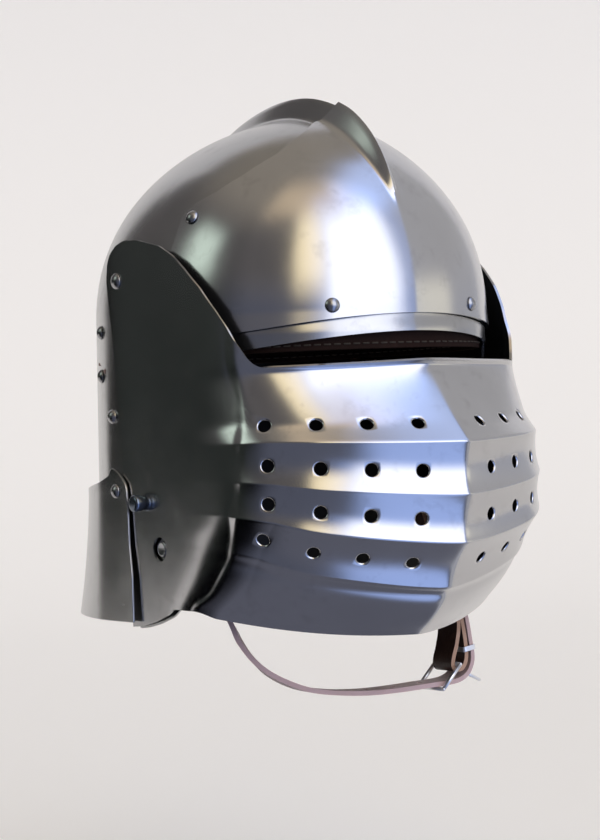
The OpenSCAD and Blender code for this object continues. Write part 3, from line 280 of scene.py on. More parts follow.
class Chart:
    """A sheet over two parameters, as a grid with round holes whose rings lie on the same surface."""

    def __init__(self, surface, us, vs):
        self.f, self.us, self.vs = surface, array(us, float), array(vs, float)
        uu, vv = np.meshgrid(self.us, self.vs, indexing="ij")
        self.grid = surface(uu, vv)
        nu, nv = uu.shape
        self.verts = list(self.grid.reshape(-1, 3))
        self.open = np.zeros((nu - 1, nv - 1), bool)
        self.extra = []

    def at(self, i, k):
        return i * len(self.vs) + k

    def hole(self, centre, radius, dish=0.0):
        """Cuts a hole round the point nearest to centre; dish is how wide its rim is rounded inwards."""
        d = norm(self.grid - centre, axis=-1)
        i, k = np.unravel_index(np.argmin(d), d.shape)
        uv = array([self.us[i], self.vs[k]])
        du = (self.us[min(i + 1, len(self.us) - 1)] - self.us[max(i - 1, 0)]) / 2
        dv = (self.vs[min(k + 1, len(self.vs) - 1)] - self.vs[max(k - 1, 0)]) / 2
        for _ in range(6):
            p = self.f(*uv)
            a = (self.f(uv[0] + du / 4, uv[1]) - p) / (du / 4)
            b = (self.f(uv[0], uv[1] + dv / 4) - p) / (dv / 4)
            uv = uv + np.linalg.lstsq(stack([a, b], -1), centre - p, rcond=None)[0]
        p = self.f(*uv)
        ea, n = unit(a), unit(np.cross(a, b))
        eb = np.cross(n, ea)
        local = lambda q: stack([(q - p) @ ea, (q - p) @ eb], -1)
        ii, kk = where(norm(self.grid - p, axis=-1) < radius + 0.9 + dish)
        i0, i1 = max(ii.min() - 1, 0), min(ii.max() + 1, len(self.us) - 1)
        k0, k1 = max(kk.min() - 1, 0), min(kk.max() + 1, len(self.vs) - 1)
        self.open[i0:i1, k0:k1] = True
        loop = [(i, k0) for i in range(i0, i1)] + [(i1, k) for k in range(k0, k1)]
        loop += [(i, k1) for i in range(i1, i0, -1)] + [(i0, k) for k in range(k1, k0, -1)]
        inv = np.linalg.inv(stack([local(p + a), local(p + b)], -1))
        inward = n * sign(n @ array([*p[:2], 0]))
        rings = [[self.at(i, k) for i, k in loop]]
        away = local(array([self.grid[i, k] for i, k in loop]))
        angle = np.unwrap(np.arctan2(away[:, 1], away[:, 0]))
        even = angle[0] + sign(angle[-1] - angle[0]) * 2 * pi * arange(len(loop)) / len(loop)
        start = np.mean(angle - even)
        rim = [(radius + dish * f, dish * g) for f, g in ((1, 0), (0.62, 0.16), (0.26, 0.5), (0, 0.95))]
        for r, sink in [(None, 0)] + (rim if dish else [(radius + 0.25, 0), (radius, 0)]):
            ring = []
            for j in range(len(loop)):
                th = mix(angle[j], even[j] + start, 0.35 if r is None else 0.7)
                reach = 0.5 * (norm(away[j]) + radius + dish) if r is None else r
                target = reach * array([cos(th), sin(th)])
                q = uv + inv @ target
                for _ in range(3):
                    q = q + inv @ (target - local(self.f(*q)))
                ring.append(len(self.verts))
                self.verts.append(self.f(*q) - inward * sink)
            rings.append(ring)
        for a, b in zip(rings, rings[1:]):
            self.extra += between(a, b)

    def faces(self, closed=False):
        nu, nv = len(self.us), len(self.vs)
        out = [(self.at(i, k), self.at(i + 1, k), self.at(i + 1, k + 1), self.at(i, k + 1))
               for i in range(nu - 1) for k in range(nv - 1) if not self.open[i, k]]
        if closed:
            ends = [(self.at(nu - 1, k), self.at(0, k)) for k in range(nv)]
            out += [(*a, *b[::-1]) for a, b in zip(ends, ends[1:])]
        return out + self.extra


def outward(o):
    """Turns an open shell's faces so that they look away from the helmet's middle."""
    me = o.data
    def away(c):
        return Vector((c.x, c.y, max(c.z + 0.098, 0)))
    if sum(p.area * p.normal.dot(away(p.center)) for p in me.polygons) < 0:
        me.flip_normals()
    return o


def cut(o, matrix, radius, length):
    """Cuts a round hole through a shell, once its thickness is there, and keeps its bevels."""
    later = [(m.width, m.segments, m.angle_limit) for m in o.modifiers if m.type == "BEVEL"]
    for m in [m for m in o.modifiers if m.type == "BEVEL"]:
        o.modifiers.remove(m)
    v, f = lathe([(0, -length / 2), (radius, -length / 2), (radius, length / 2), (0, length / 2)], 48)
    tool = mesh_object("cutter", [to_part(matrix @ Vector(p)) for p in v], f)
    b = o.modifiers.new("hole", "BOOLEAN")
    b.object, b.operation, b.solver = tool, "DIFFERENCE", "EXACT"
    made = bpy.data.meshes.new_from_object(o.evaluated_get(bpy.context.evaluated_depsgraph_get()))
    o.modifiers.clear()
    o.data = made
    bpy.data.objects.remove(tool)
    for width, segments, angle in later:
        bevel(o, width, segments, angle)


def lathe(profile, steps=40):
    """Rings round Z from (radius, height) pairs; a radius of 0 closes the end."""
    verts, faces, rows = [], [], []
    for r, z in profile:
        if r <= 1e-6:
            rows.append([len(verts)] * steps)
            verts.append((0, 0, z))
        else:
            rows.append(list(range(len(verts), len(verts) + steps)))
            turns = [2 * pi * k / steps for k in range(steps)]
            verts += [(r * cos(a), r * sin(a), z) for a in turns]
    for a, b in zip(rows, rows[1:]):
        faces += [f for f in (tuple(dict.fromkeys(f)) for f in between(a, b)) if len(f) > 2]
    return array(verts), faces


def frame_at(p, n):
    return Matrix.Translation(Vector(p)) @ Vector(n).normalized().to_track_quat("Z", "Y").to_matrix().to_4x4()


class Pile:
    """Several small solids in one mesh."""

    def __init__(self):
        self.verts, self.faces = [], []

    def put(self, verts, faces, matrix):
        base = len(self.verts)
        self.verts += [array(matrix @ Vector(v)) for v in verts]
        self.faces += [tuple(base + i for i in f) for f in faces]

    def turn(self, profile, steps, p, n):
        """A turned solid whose axis starts at p and runs along n."""
        self.put(*lathe(profile, steps), frame_at(p, n))

    def make(self, name, mat, slot, replaces=(), body="helmet"):
        return add(name, self.verts, self.faces, mat, replaces, body)


# ---- materials
class Nodes:
    """A short way to write a shader's nodes. An input is a plain value or another node's output."""

    def __init__(self, owner):
        owner.use_nodes = True
        self.tree = owner.node_tree
        self.tree.nodes.clear()
        self.coord = self.new("TexCoord")

    def new(self, kind, inputs=(), **settings):
        node = self.tree.nodes.new("ShaderNode" + kind)
        for name, value in settings.items():
            setattr(node, name, value)
        self.put(node, inputs)
        return node

    def put(self, node, inputs):
        for key, value in dict(inputs).items():
            if isinstance(value, bpy.types.NodeSocket):
                self.tree.links.new(value, node.inputs[key])
            elif value is not None:
                node.inputs[key].default_value = value

    def math(self, kind, a, b=None, clamp_it=False):
        return self.new("Math", {0: a, 1: b}, operation=kind, use_clamp=clamp_it).outputs["Value"]


class Finish(Nodes):
    """A material."""

    def __init__(self, name):
        self.mat = bpy.data.materials.new(name)
        super().__init__(self.mat)
        self.bsdf = self.new("BsdfPrincipled")
        self.new("OutputMaterial", {"Surface": self.bsdf.outputs["BSDF"]})

    def mapped(self, scale=(1, 1, 1), rotation=(0, 0, 0), shift=(0, 0, 0)):
        inputs = {"Scale": scale, "Rotation": rotation, "Location": shift}
        return self.new("Mapping", {"Vector": self.coord.outputs["Object"], **inputs}).outputs["Vector"]

    def noise(self, scale, detail, rough, distort=0.0, scale_at=(1, 1, 1), **mapping):
        inputs = {"Scale": scale, "Detail": detail, "Roughness": rough, "Distortion": distort}
        return self.new("TexNoise", {"Vector": self.mapped(scale_at, **mapping), **inputs}).outputs["Fac"]

    def cells(self, scale):
        node = self.new("TexVoronoi", {"Vector": self.mapped(), "Scale": scale}, feature="SMOOTH_F1")
        return node.outputs["Distance"]

    def ramp(self, source, low, high):
        """Black below low, white above high."""
        node = self.new("ValToRGB", {"Fac": source})
        for element, at in zip(node.color_ramp.elements, (low, high)):
            element.position = at
        return node.outputs["Color"]

    def blend(self, share, a, b, kind="MIX"):
        a, b = (c if isinstance(c, bpy.types.NodeSocket) else (*c, 1) for c in (a, b))
        return self.new("Mix", {0: share, 6: a, 7: b}, data_type="RGBA", blend_type=kind).outputs["Result"]

    def bump(self, height, strength, distance, after=None):
        inputs = {"Strength": strength, "Distance": distance, "Height": height, "Normal": after}
        return self.new("Bump", inputs).outputs["Normal"]

    def shade(self, inputs):
        self.put(self.bsdf, inputs)
        return self.mat


def steel(name, bright, dark, rough, warm=0.0, hammer=0.5, scratch=0.3, seed=0.0):
    """Polished plate: slow hammered waves, fine polishing marks and faint stains."""
    n = Finish(name)
    slow = n.noise(22, 2, 0.4, shift=(seed, seed, 0))
    cloud = n.noise(9, 4, 0.6, shift=(0, seed, seed))
    fine = n.noise(900, 2, 0.6, scale_at=(1, 1, 0.12))
    cross = n.noise(700, 2, 0.6, scale_at=(0.25, 0.25, 1.6), rotation=(0.5, 0.3, 0.2))
    stain = n.ramp(n.noise(75, 5, 0.65, shift=(seed, 0, 0)), 0.56, 0.72)
    base = n.blend(n.ramp(cloud, 0.3, 0.7), dark, bright)
    brown = n.blend(warm, (0.5, 0.5, 0.5), (0.5, 0.4, 0.3))
    total = n.math("ADD", n.math("MULTIPLY", fine, 0.02), n.math("MULTIPLY", cross, 0.03))
    total = n.math("ADD", total, n.math("MULTIPLY", n.ramp(cloud, 0.35, 0.68), 0.05))
    total = n.math("ADD", n.math("ADD", total, rough - 0.05), n.math("MULTIPLY", stain, 0.03), True)
    return n.shade({
        "Metallic": 1, "Roughness": total,
        "Base Color": n.blend(n.math("MULTIPLY", stain, 0.2), base, brown, "MULTIPLY"),
        "Normal": n.bump(fine, scratch, 0.00006, n.bump(slow, hammer, 0.0016)),
    })


def leather(name, face, deep, cut, rough, shine=0.35):
    """Leather: pebbled grain, creases and slow tone changes; cut is the tone of worn and rubbed places."""
    n = Finish(name)
    base = n.blend(n.ramp(n.noise(14, 4, 0.6), 0.3, 0.72), deep, face)
    worn = n.ramp(n.noise(45, 5, 0.7, 0.4), 0.57, 0.75)
    crease = n.noise(120, 4, 0.6, scale_at=(1, 1, 0.4))
    return n.shade({
        "Base Color": n.blend(n.math("MULTIPLY", worn, 0.5), base, cut),
        "Roughness": n.math("ADD", n.math("MULTIPLY", crease, 0.22), rough - 0.1, True),
        "Specular IOR Level": shine,
        "Normal": n.bump(crease, 0.5, 0.0004, n.bump(n.cells(780), 0.5, 0.00025)),
    })


def thread(name, colour, dark):
    n = Finish(name)
    fibre = n.noise(1500, 2, 0.6, scale_at=(1, 1, 0.3))
    tone = n.blend(n.ramp(fibre, 0.3, 0.7), dark, colour)
    return n.shade({"Base Color": tone, "Roughness": 0.85, "Normal": n.bump(fibre, 0.6, 0.0002)})


PLATE = steel("plate", (0.5,) * 3, (0.42,) * 3, 0.23, 0.4, 0.2, 0.05, 0.3)
FRONT_TONES = (0.57, 0.57, 0.58), (0.51, 0.51, 0.52)
BROW = steel("brow", *FRONT_TONES, 0.20, 0.2, 0.2, 0.05, 1.7)
VISOR = steel("visor_plate", *FRONT_TONES, 0.19, 0.2, 0.2, 0.05, 2.9)
# The shells' inner faces: blackened steel, painted darker still so that the vents, the slit and the wings'
# insides show as shade.
INSIDE_PAINTED_SHADE = steel("inside", (0.05,) * 3, (0.03, 0.029, 0.028), 0.5, 0.8, 0.6, 0.3, 4.1)
RIVET = steel("rivet", (0.42, 0.42, 0.43), (0.30, 0.30, 0.31), 0.26, 0.5, 0.2, 0.05)
WASHER = steel("washer", (0.36, 0.37, 0.39), (0.26, 0.27, 0.29), 0.4, hammer=0.2)
SPRING = steel("spring", (0.30, 0.32, 0.37), (0.20, 0.22, 0.27), 0.3, hammer=0.1)
PEG = steel("peg", (0.20, 0.23, 0.28), (0.11, 0.14, 0.18), 0.24, 0, 0.1, 0.05)
STUD = steel("stud", (0.50, 0.51, 0.52), (0.36, 0.37, 0.39), 0.25, 0, 0.1, 0.05)
NICKEL = steel("nickel", (0.9,) * 3, (0.84, 0.84, 0.85), 0.36, 0, 0.1, 0.05)
STRAP_LONG = leather("strap_long", (0.66, 0.47, 0.43), (0.52, 0.35, 0.31), (0.74, 0.56, 0.50), 0.5)
# The short strap's face: dark leather with the shade it hangs in painted into its colour; its cut edges are
# lighter leather.
STRAP_SHORT_PAINTED_SHADE = leather("strap_short", (0.075, 0.036, 0.024), (0.04, 0.018, 0.012), (0.15, 0.08, 0.05), 0.42)
STRAP_EDGE = leather("strap_edge", (0.58, 0.36, 0.24), (0.42, 0.25, 0.16), (0.62, 0.42, 0.30), 0.7)
# The lining's colour is dark leather painted darker with the shade that fills the slit and the helmet's
# inside.
LINING_PAINTED_SHADE = leather("lining", (0.026, 0.013, 0.010), (0.015, 0.008, 0.006), (0.045, 0.024, 0.018), 0.8, 0.08)
LACE = thread("lace", (0.42, 0.31, 0.2), (0.26, 0.18, 0.11))
# The band's stitches are darkened in the same way, with the shade inside the helmet painted into their
# colour.
STITCH_PAINTED_SHADE = thread("stitch", (0.06, 0.045, 0.03), (0.035, 0.026, 0.018))

# ---- skull
FINE = 1.0


def count(n):
    return max(8, int(n * FINE))


def skull_columns():
    base = u_of(COMB_W)
    inner = linspace(90, base, 9)[1:]
    outer = base * (1 - linspace(0, 1, count(104)) ** 1.1)[1:]
    half = concatenate([inner, outer])
    return concatenate([half[::-1], [90], 180 - half])


def build_skull():
    us = skull_columns()
    dome = Chart(bowl, us, linspace(0, 180, count(150) + 1))
    faces = dome.faces()
    ring = concatenate([bowl(us[::-1], 0.0), bowl(us[1:-1], 180.0)])
    bottoms = low_z(ring[:, 0], ring[:, 1])
    dirs = plan_dir(ring[:, 0], ring[:, 1])
    base, n, rows = len(dome.verts), len(ring), count(30)
    verts = [dome.verts]
    for h in range(rows + 1):
        z = bottoms * h / rows
        q = ring + dirs * nape_out(ring[:, 1], z)[:, None]
        verts.append(stack([q[:, 0], q[:, 1] - where(q[:, 1] < -40, rim_out(z), 0), z], -1))
    for h in range(rows):
        for k in range(n):
            m = (k + 1) % n
            faces.append((base + h * n + k, base + (h + 1) * n + k, base + (h + 1) * n + m, base + h * n + m))
    o = add("skull_shell", concatenate(verts), faces, PLATE, ["skull"])
    weld(o, 0.00006)
    return thicken(outward(o), SHEET, 0.5, INSIDE_PAINTED_SHADE)


skull_shell = build_skull()


# ---- brow plate
def plate_u(c):
    half = 13
    f = abs(c) / half
    first = 90 - u_of(COMB_W)
    rest = mix(first, 77.5, clamp((f - 1 / half) / (1 - 1 / half)) ** 0.96)
    return 90 + sign(c) * where(f < 1 / half, first * f * half, rest)


def plate_surface(c, i):
    u = plate_u(c)
    side = where(u < 90, 180 - u, u)
    edge = curve(side, PLATE_LINE, 1.0)
    off = PLATE_LAP + PLATE_T
    base = bowl(u, 0.0, off)
    base0 = bowl(u, 0.0)
    low = rim_z(base0[..., 0]) + BROW_STRIP
    over = bowl(u, edge * clamp(i - 1, 0, 99) / 10, off)
    f = clamp(i)
    down = points(base[..., 0], base[..., 1] - rim_out(low) * (1 - f), low * (1 - f))
    return where((i < 1)[..., None] if np.ndim(i) else i < 1, down, over)


def plate_columns():
    half = concatenate([linspace(0, 1, 7), 1 + 12 * linspace(0, 1, count(84))[1:]])
    return concatenate([-half[:0:-1], half])


rows = concatenate([linspace(0, 1, 6)[:-1], linspace(1, 11, count(70))])
plate = Chart(plate_surface, plate_columns(), rows)
o = add("brow_plate_shell", plate.verts, plate.faces(), BROW, ["brow_plate"])
thicken(outward(o), PLATE_T, 0.45, INSIDE_PAINTED_SHADE)

# ---- visor
SIGHT_CORNER_X, LIP_DIP, RISE_W, EMBOSS = 94.4, 2.9, 95.0, 1.6
CORNER_COL, FRONT_COLS, WING_COLS, WING_TAU = 9, 14, 7, 0.33
TOP_ROWS = [0, 3, 12, 21, 30, 40]
KEEL_ROWS = [-SIGHT_DROP - d for d in TOP_ROWS]
KEEL_ROWS += [mix(CRESTS[i][0], CRESTS[i + 1][0], f) for i in range(3) for f in (0, 0.22, 0.5, 0.78)]
KEEL_ROWS += [mix(CRESTS[3][0], -CHIN_DROP, f) for f in (0, 0.15, 0.32, 0.65, 1)]
VISOR_ROWS = len(KEEL_ROWS)


def level(zk, x):
    rise = 4 - 0.159 * (zk + 76.4)
    side = 0.115 * clamp(CRESTS[0][0] - zk, 0, 80)
    return zk + rise * clamp(abs(x) / RISE_W) ** 1.4 + side * clamp((abs(x) - 70) / 36, 0, 1.2) ** 2


def reach_profile(relief):
    """Reach of the keel by depth, with its folds rounded over a millimetre or so."""
    zk = arange(-CHIN_DROP - 6, -SIGHT_DROP + 6, 0.1)
    low = -SIGHT_DROP - 3
    out = SIGHT_FRONT + SWELL * clamp((low - zk) / (low - CRESTS[0][0])) ** 1.25
    for (za, ra), (zb, rb) in zip(CRESTS, CRESTS[1:]):
        s = (za - zk) / (za - zb)
        inside = (zk < za) & (zk >= zb)
        dip = VALLEY * maximum(sin(pi * clamp(s)), 0) ** 0.8
        out = where(inside, CREST_FRONT + mix(ra, rb, s) - relief * dip, out)
    f = clamp((CRESTS[3][0] - zk) / (CRESTS[3][0] + CHIN_DROP))
    chin = CREST_FRONT + mix(CRESTS[3][1], CHIN_BACK, f) + 2.5 * sin(pi * clamp((f - 0.15) / 0.85))
    chin = chin - relief * (0.6 * sin(pi * clamp(f / 0.3)) + 1.1 * np.exp(-((f - 0.1) / 0.06) ** 2))
    out = where(zk < CRESTS[3][0], chin, out)
    k = arange(-30, 31) * 0.1
    g = np.exp(-0.5 * (k / 0.5) ** 2)
    out = np.convolve(np.pad(out, 30, mode="edge"), g / g.sum(), mode="valid")
    return zk, out


PROFILES = {r: reach_profile(r) for r in (0, 1)}


def reach(zk, relief):
    return mix(interp(zk, *PROFILES[0]), interp(zk, *PROFILES[1]), relief)


def emboss_in(y, z):
    line = curve(z, EMBOSS_AT, 3)
    return EMBOSS * smooth((y - line + 4) / 8) * clamp((WING_Y + 20 - y) / 40)


def wing_w(y):
    return WING_OUT - where(y > WING_Y, side_w(WING_Y) - side_w(y), 0)


def fullness(zk):
    return curve(zk, FULL, 2.5)


def sharpness(zk):
    return curve(zk, SHARP, 2.5)


def visor_skin(tau, zk, z, rounded=True, flare=0.0):
    n, sharp = fullness(zk), sharpness(zk)
    ahead = reach(zk, smooth((tau - 0.5) / 0.14)) - sharp + WING_Y + flare
    x = WING_OUT * (1 - tau ** n)
    y = WING_Y - ahead * tau - sharp * tau ** n
    if rounded:
        slope = (ahead + sharp * n) / (WING_OUT * n)
        y = y + slope * (sqrt(x * x + 1.7 + 28 * clamp((zk + 75) / 45) ** 1.5) - x)
    return points(x - emboss_in(y, z) * clamp((0.75 - tau) * 8), y, z)


def tau_at(c):
    sight_tau = (1 - SIGHT_CORNER_X / WING_OUT) ** (1 / 5.3)
    inner = 1 - (1 - sight_tau) * (c / CORNER_COL) ** 1.25
    outer = mix(sight_tau, WING_TAU, (c - CORNER_COL) / (FRONT_COLS - CORNER_COL))
    return where(c <= CORNER_COL, inner, outer)


def level_w(y, zk):
    front = (WING_Y - y) / (reach(zk, 0) - sharpness(zk) + WING_Y)
    return where(y > WING_Y, wing_w(y), WING_OUT * (1 - clamp(front) ** fullness(zk)))


def foot_z(x, y):
    front = -CHIN_DROP + 18.5 * clamp(x / WING_OUT) ** 2.1
    return mix(curve(y, WING_FOOT, 1.2), front, smooth((-42 - y) / 12))


def visor_surface(col, row):
    c = abs(col)
    side = where(col < 0, -1.0, 1.0)
    zk = interp(row, arange(VISOR_ROWS), KEEL_ROWS)
    w = clamp((c - FRONT_COLS) / WING_COLS)
    tau = tau_at(minimum(c, FRONT_COLS))
    x = WING_OUT * (1 - tau ** fullness(zk))
    top = visor_skin(tau, -SIGHT_DROP + 0 * tau, 0.0, False)
    foot = visor_skin(tau, -CHIN_DROP + 0 * tau, -CHIN_DROP, False)
    y_top = mix(top[..., 1], 33, w)
    y_foot = mix(foot[..., 1], look(-170, WING_BACK), w)
    lip_x = minimum(top[..., 0], SIGHT_CORNER_X)
    at_sight = level(-SIGHT_DROP, lip_x) - LIP_DIP * (1 - clamp(lip_x / RISE_W) ** 2.4)
    rise = mix(curve(y_top, EDGE_RISE, 3.4), curve(y_top, EDGE_RISE, 0.8), smooth((y_top + 84) / 14))
    z_top = at_sight + rise
    crest_z, chin_z = level(CRESTS[0][0], x), level(CRESTS[3][0], x)
    upper = mix(z_top, crest_z, (SIGHT_DROP + zk) / (SIGHT_DROP + CRESTS[0][0]))
    lower = mix(chin_z, foot_z(foot[..., 0], y_foot), (CRESTS[3][0] - zk) / (CRESTS[3][0] + CHIN_DROP))
    z = where(zk > CRESTS[0][0], upper, where(zk > CRESTS[3][0], level(zk, x), lower))
    # the shape follows the height, so that the wing's rising edge doesn't pull the front up with it
    near_lip = clamp((at_sight - z) / (at_sight - crest_z))
    zk = where(zk > CRESTS[0][0], mix(-SIGHT_DROP, CRESTS[0][0], near_lip), zk)
    flare = LIP_OUT * clamp(1 - (at_sight - z) / 2.2) ** 1.5 * smooth((CORNER_COL + 0.2 - c) / 1.5)
    at_front = visor_skin(tau, zk, z, flare=flare)
    y = mix(at_front[..., 1], curve(z, WING_BACK, 1.5), w)
    px = where(w > 0, level_w(y, zk) - emboss_in(y, z), at_front[..., 0])
    return points(side * px, y, z)


def visor_columns():
    front = FRONT_COLS * linspace(0, 1, count(104) + 1) ** 0.92
    wing = FRONT_COLS + WING_COLS * linspace(0, 1, count(34) + 1)[1:]
    corner = array([CORNER_COL - 0.03, CORNER_COL + 0.03])
    half = np.sort(concatenate([front, wing, corner]))
    return concatenate([-half[:0:-1], half])


def visor_row_params():
    """Rows set by depth, closer at the lip and at each crest."""
    marks = [-SIGHT_DROP - d for d in (0, 0.5, 1.0, 1.6, 2.2, 3.2)]
    for depth, _ in CRESTS:
        marks += [depth + d for d in (2.4, 1.4, 0.7, 0.2, -0.2, -0.7, -1.4, -2.4)]
    marks = sorted(marks + [-CHIN_DROP], reverse=True)
    out = []
    for a, b in zip(marks, marks[1:]):
        steps = max(1, round((a - b) / (1.5 / FINE)))
        out += [mix(a, b, k / steps) for k in range(steps)]
    zk = array(out + [-CHIN_DROP])
    return interp(-zk, -array(KEEL_ROWS), arange(VISOR_ROWS))


visor = Chart(visor_surface, visor_columns(), visor_row_params())
VENT_ROWS = [-64.6, -91.8, -118.7, -143.8]
VENT_X = [24.3, 51.0, 75.2, 96.2]
VENT_SHIFT = [-2.5, 0.0, 0.4, 0.0]
for zk, shift in zip(VENT_ROWS, VENT_SHIFT):
    for vx in VENT_X:
        x = vx + shift
        tau = (1 - x / WING_OUT) ** (1 / look(zk, FULL))
        p = visor_skin(array(tau), zk, level(zk, x))
        for side in (-1, 1):
            visor.hole(p * array([side, 1, 1]), VENT_D / 2, 0.8)
STUD_Y, STUD_Z, STUD_D, STUD_HOLE_D = -14.6, -130.4, 9.4, 14.0


def wing_face(y, z):
    return wing_w(y) - emboss_in(y, z)


visor.hole(array([-wing_face(STUD_Y, STUD_Z), STUD_Y, STUD_Z]), STUD_HOLE_D / 2)
o = add("visor_shell", visor.verts, visor.faces(), VISOR, ["visor"], "visor")
thicken(outward(o), VISOR_T, 0.42, INSIDE_PAINTED_SHADE)
cut(skull_shell, frame_at((-side_w(STUD_Y), STUD_Y, STUD_Z), (-1, 0, 0)), STUD_D / 2 + 0.5, 12)

# ---- neck lame
LAME_Y, LAME_Z = 26.5, -97.0
LAME_GAP = WING_GAP + VISOR_T + 0.5


def lame_out(y, z):
    f = clamp((-z - 100) / (LAME_DROP - 100))
    return nape_out(y, maximum(z, LAME_Z)) + 1.5 * f + (LAME_FLARE - 1.5) * f ** 1.4 * clamp(y / REAR) ** 2.4


def lame_surface(f, g):
    side = abs(2 * f - 1)
    a0 = degrees(asin((14 / REAR) ** (PLAN_N / 2)))
    a = a0 + (90 - a0) * (1 - side) ** 1.15
    sa = sin(radians(a))
    y0 = REAR * sa ** (2 / PLAN_N)
    z = mix(curve(y0, LAME_TOP, 0.8), -LAME_DROP, g)
    y1 = y0 + (curve(z, LAME_FRONT, 1.5) - 14) * clamp((60 - y0) / 46)
    out = LAME_GAP + LAME_T + lame_out(y0, z)
    x = side_w(y1) + out * clamp(cos(radians(a)) * 1.6)
    y = y1 + out * sa ** 2
    return points(where(f < 0.5, 1, -1) * x * where(f == 0.5, 0, 1), y, z)


lame_f = 0.5 - 0.5 * linspace(1, 0, count(84) + 1)
lame = Chart(lame_surface, concatenate([lame_f, 1 - lame_f[-2::-1]]), linspace(0, 1, count(46)))
o = add("neck_lame_shell", lame.verts, lame.faces(), PLATE, ["neck_lame"], "tail")
weld(o)
thicken(outward(o), LAME_T, 0.45, INSIDE_PAINTED_SHADE)

# ---- lining
BAND_SHOW, BAND_H, LEATHER_T, TONGUE_T, CROWN_R, LACE_D = 9.5, 36.0, 2.4, 1.6, 28.0, 2.0
BAND_LOW = -BROW_DROP - BAND_SHOW
BAND_OUT = -SHEET - 1
BAND_IN = BAND_OUT - LEATHER_T
RIVET_D, HEAD_D, HEAD_H, WASHER_D, FIT = 3.2, 8.4, 2.6, 9.0, 0.05


def band_surface(a, z):
    x, y = plan_pt(a, BAND_OUT)
    return points(x, y, z + 0 * x)


levels = linspace(BAND_LOW, BAND_LOW + BAND_H, 14)
band = Chart(band_surface, linspace(0, 2 * pi, count(260) + 1)[:-1], levels)
o = add("lining_band_shell", band.verts, band.faces(True), LINING_PAINTED_SHADE, ["lining_band"])
thicken(o, LEATHER_T, 0.6, segments=3)


def arc_points(off, z, step):
    """Points about step apart round the band at an offset, with the direction that runs along it."""
    a = linspace(0, 2 * pi, 4001)
    x, y = plan_pt(a, off)
    s = concatenate([[0], np.cumsum(np.hypot(np.diff(x), np.diff(y)))])
    n = int(s[-1] / step)
    at = interp(arange(n) * s[-1] / n, s, a)
    x, y = plan_pt(at, off)
    x2, y2 = plan_pt(at + 0.002, off)
    return points(x, y, z), unit(points(x2 - x, y2 - y, 0))


# a saddle stitch near the band's lower and upper edges, inside and out
stitches = Pile()
pill = lathe([(0, 0), (0.35, 0.125), (0.5, 0.5), (0.5, 3.7), (0.35, 4.075), (0, 4.2)], 8)
for z in (BAND_LOW + 3.2, BAND_LOW + BAND_H - 3.2):
    for off in (BAND_OUT + 0.1, BAND_IN - 0.1):
        at, run = arc_points(off, z, 5.6)
        for p, d in zip(at, run):
            stitches.put(*pill, frame_at(p - d * 2.1, d))
stitches.make("band_stitches", STITCH_PAINTED_SHADE, "lining")

TONGUES = 8
TONGUE_LAP = 6.5
TONGUE_LOW = BAND_LOW + BAND_H - TONGUE_LAP
TONGUE_OUT = BAND_IN - 0.9
HOLE_R, LACE_HOLE_D = CROWN_R + 6, LACE_D + 3


def tongue_surface(c):
    def at(f, g):
        pitch = 360 / TONGUES
        a = radians(pitch * (c + (f - 0.5) * (0.88 - 0.1 * sin(pi * g))) + 90)
        x, y = plan_pt(a, TONGUE_OUT)
        edge = np.hypot(x, y)
        cg, sg = cos(pi / 2 * g), sin(pi / 2 * g)
        # the tongue's tip is rounded and its face hangs in a slow hollow between its edges
        tip = 3.0 * (2 * abs(f - 0.5)) ** 4 * smooth((g - 0.8) * 5)
        r = CROWN_R + tip + (edge - CROWN_R - tip) * cg
        hollow = 0.8 * sin(pi * g) * (1 - (2 * (f - 0.5)) ** 2)
        top = SEAT_Z + TONGUE_T
        z = TONGUE_LOW + (top - TONGUE_LOW) * sg
        k = 1 - hollow / 100
        return points(r * cos(a) * k, r * sin(a) * k, z - hollow * 0.3)
    return at


for c in range(TONGUES):
    tongue = Chart(tongue_surface(c), linspace(0, 1, count(30)), linspace(0, 1, count(42)))
    for q in (-0.25, 0.25):
        a = radians(90 + (c + q) * 360 / TONGUES)
        z = SEAT_Z + TONGUE_T - 0.7
        tongue.hole(array([HOLE_R * cos(a), HOLE_R * sin(a), z]), LACE_HOLE_D / 2)
    node = ["lining_tongues"] if c == 0 else ()
    o = add(f"tongue_{c}", tongue.verts, tongue.faces(), LINING_PAINTED_SHADE, node)
    thicken(outward(o), TONGUE_T, 0.45, segments=3)


TURNS, HALF_ROW = 16, radians(90 / 8)
SAG = (SEAT_Z - TONGUE_LOW) * (1 - cos(HALF_ROW)) * 6 / ((HALF_W + TONGUE_OUT - CROWN_R) * sin(HALF_ROW))
lace_pts = []
for k in range(TURNS * TONGUES):
    a = radians(90 + 360 * k / (TURNS * TONGUES))
    wave = -(TONGUE_T / 2 + LACE_D / 2 + 0.3) * max(-1, min(1, 2.2 * cos(2 * pi * k / TURNS)))
    lace_pts.append((HOLE_R * cos(a), HOLE_R * sin(a), SEAT_Z + TONGUE_T / 2 - SAG * 0.5 + wave))
cu = bpy.data.curves.new("lace", "CURVE")
cu.dimensions, cu.bevel_depth, cu.bevel_resolution = "3D", LACE_D / 2 / 1000, 6
cu.resolution_u, cu.use_fill_caps = 6, True
sp = cu.splines.new("NURBS")
sp.points.add(len(lace_pts) - 1)
for q, p in zip(sp.points, to_part(lace_pts)):
    q.co = (*p, 1)
sp.order_u, sp.use_cyclic_u = 4, True
lace = bpy.data.objects.new("lace", cu)
scene.collection.objects.link(lace)
cu.materials.append(LACE)
ride(lace, "helmet", ["crown_lace"])

# ---- rivets and washers
SEAT_GAP, BURR_H = 0.15, 1.0


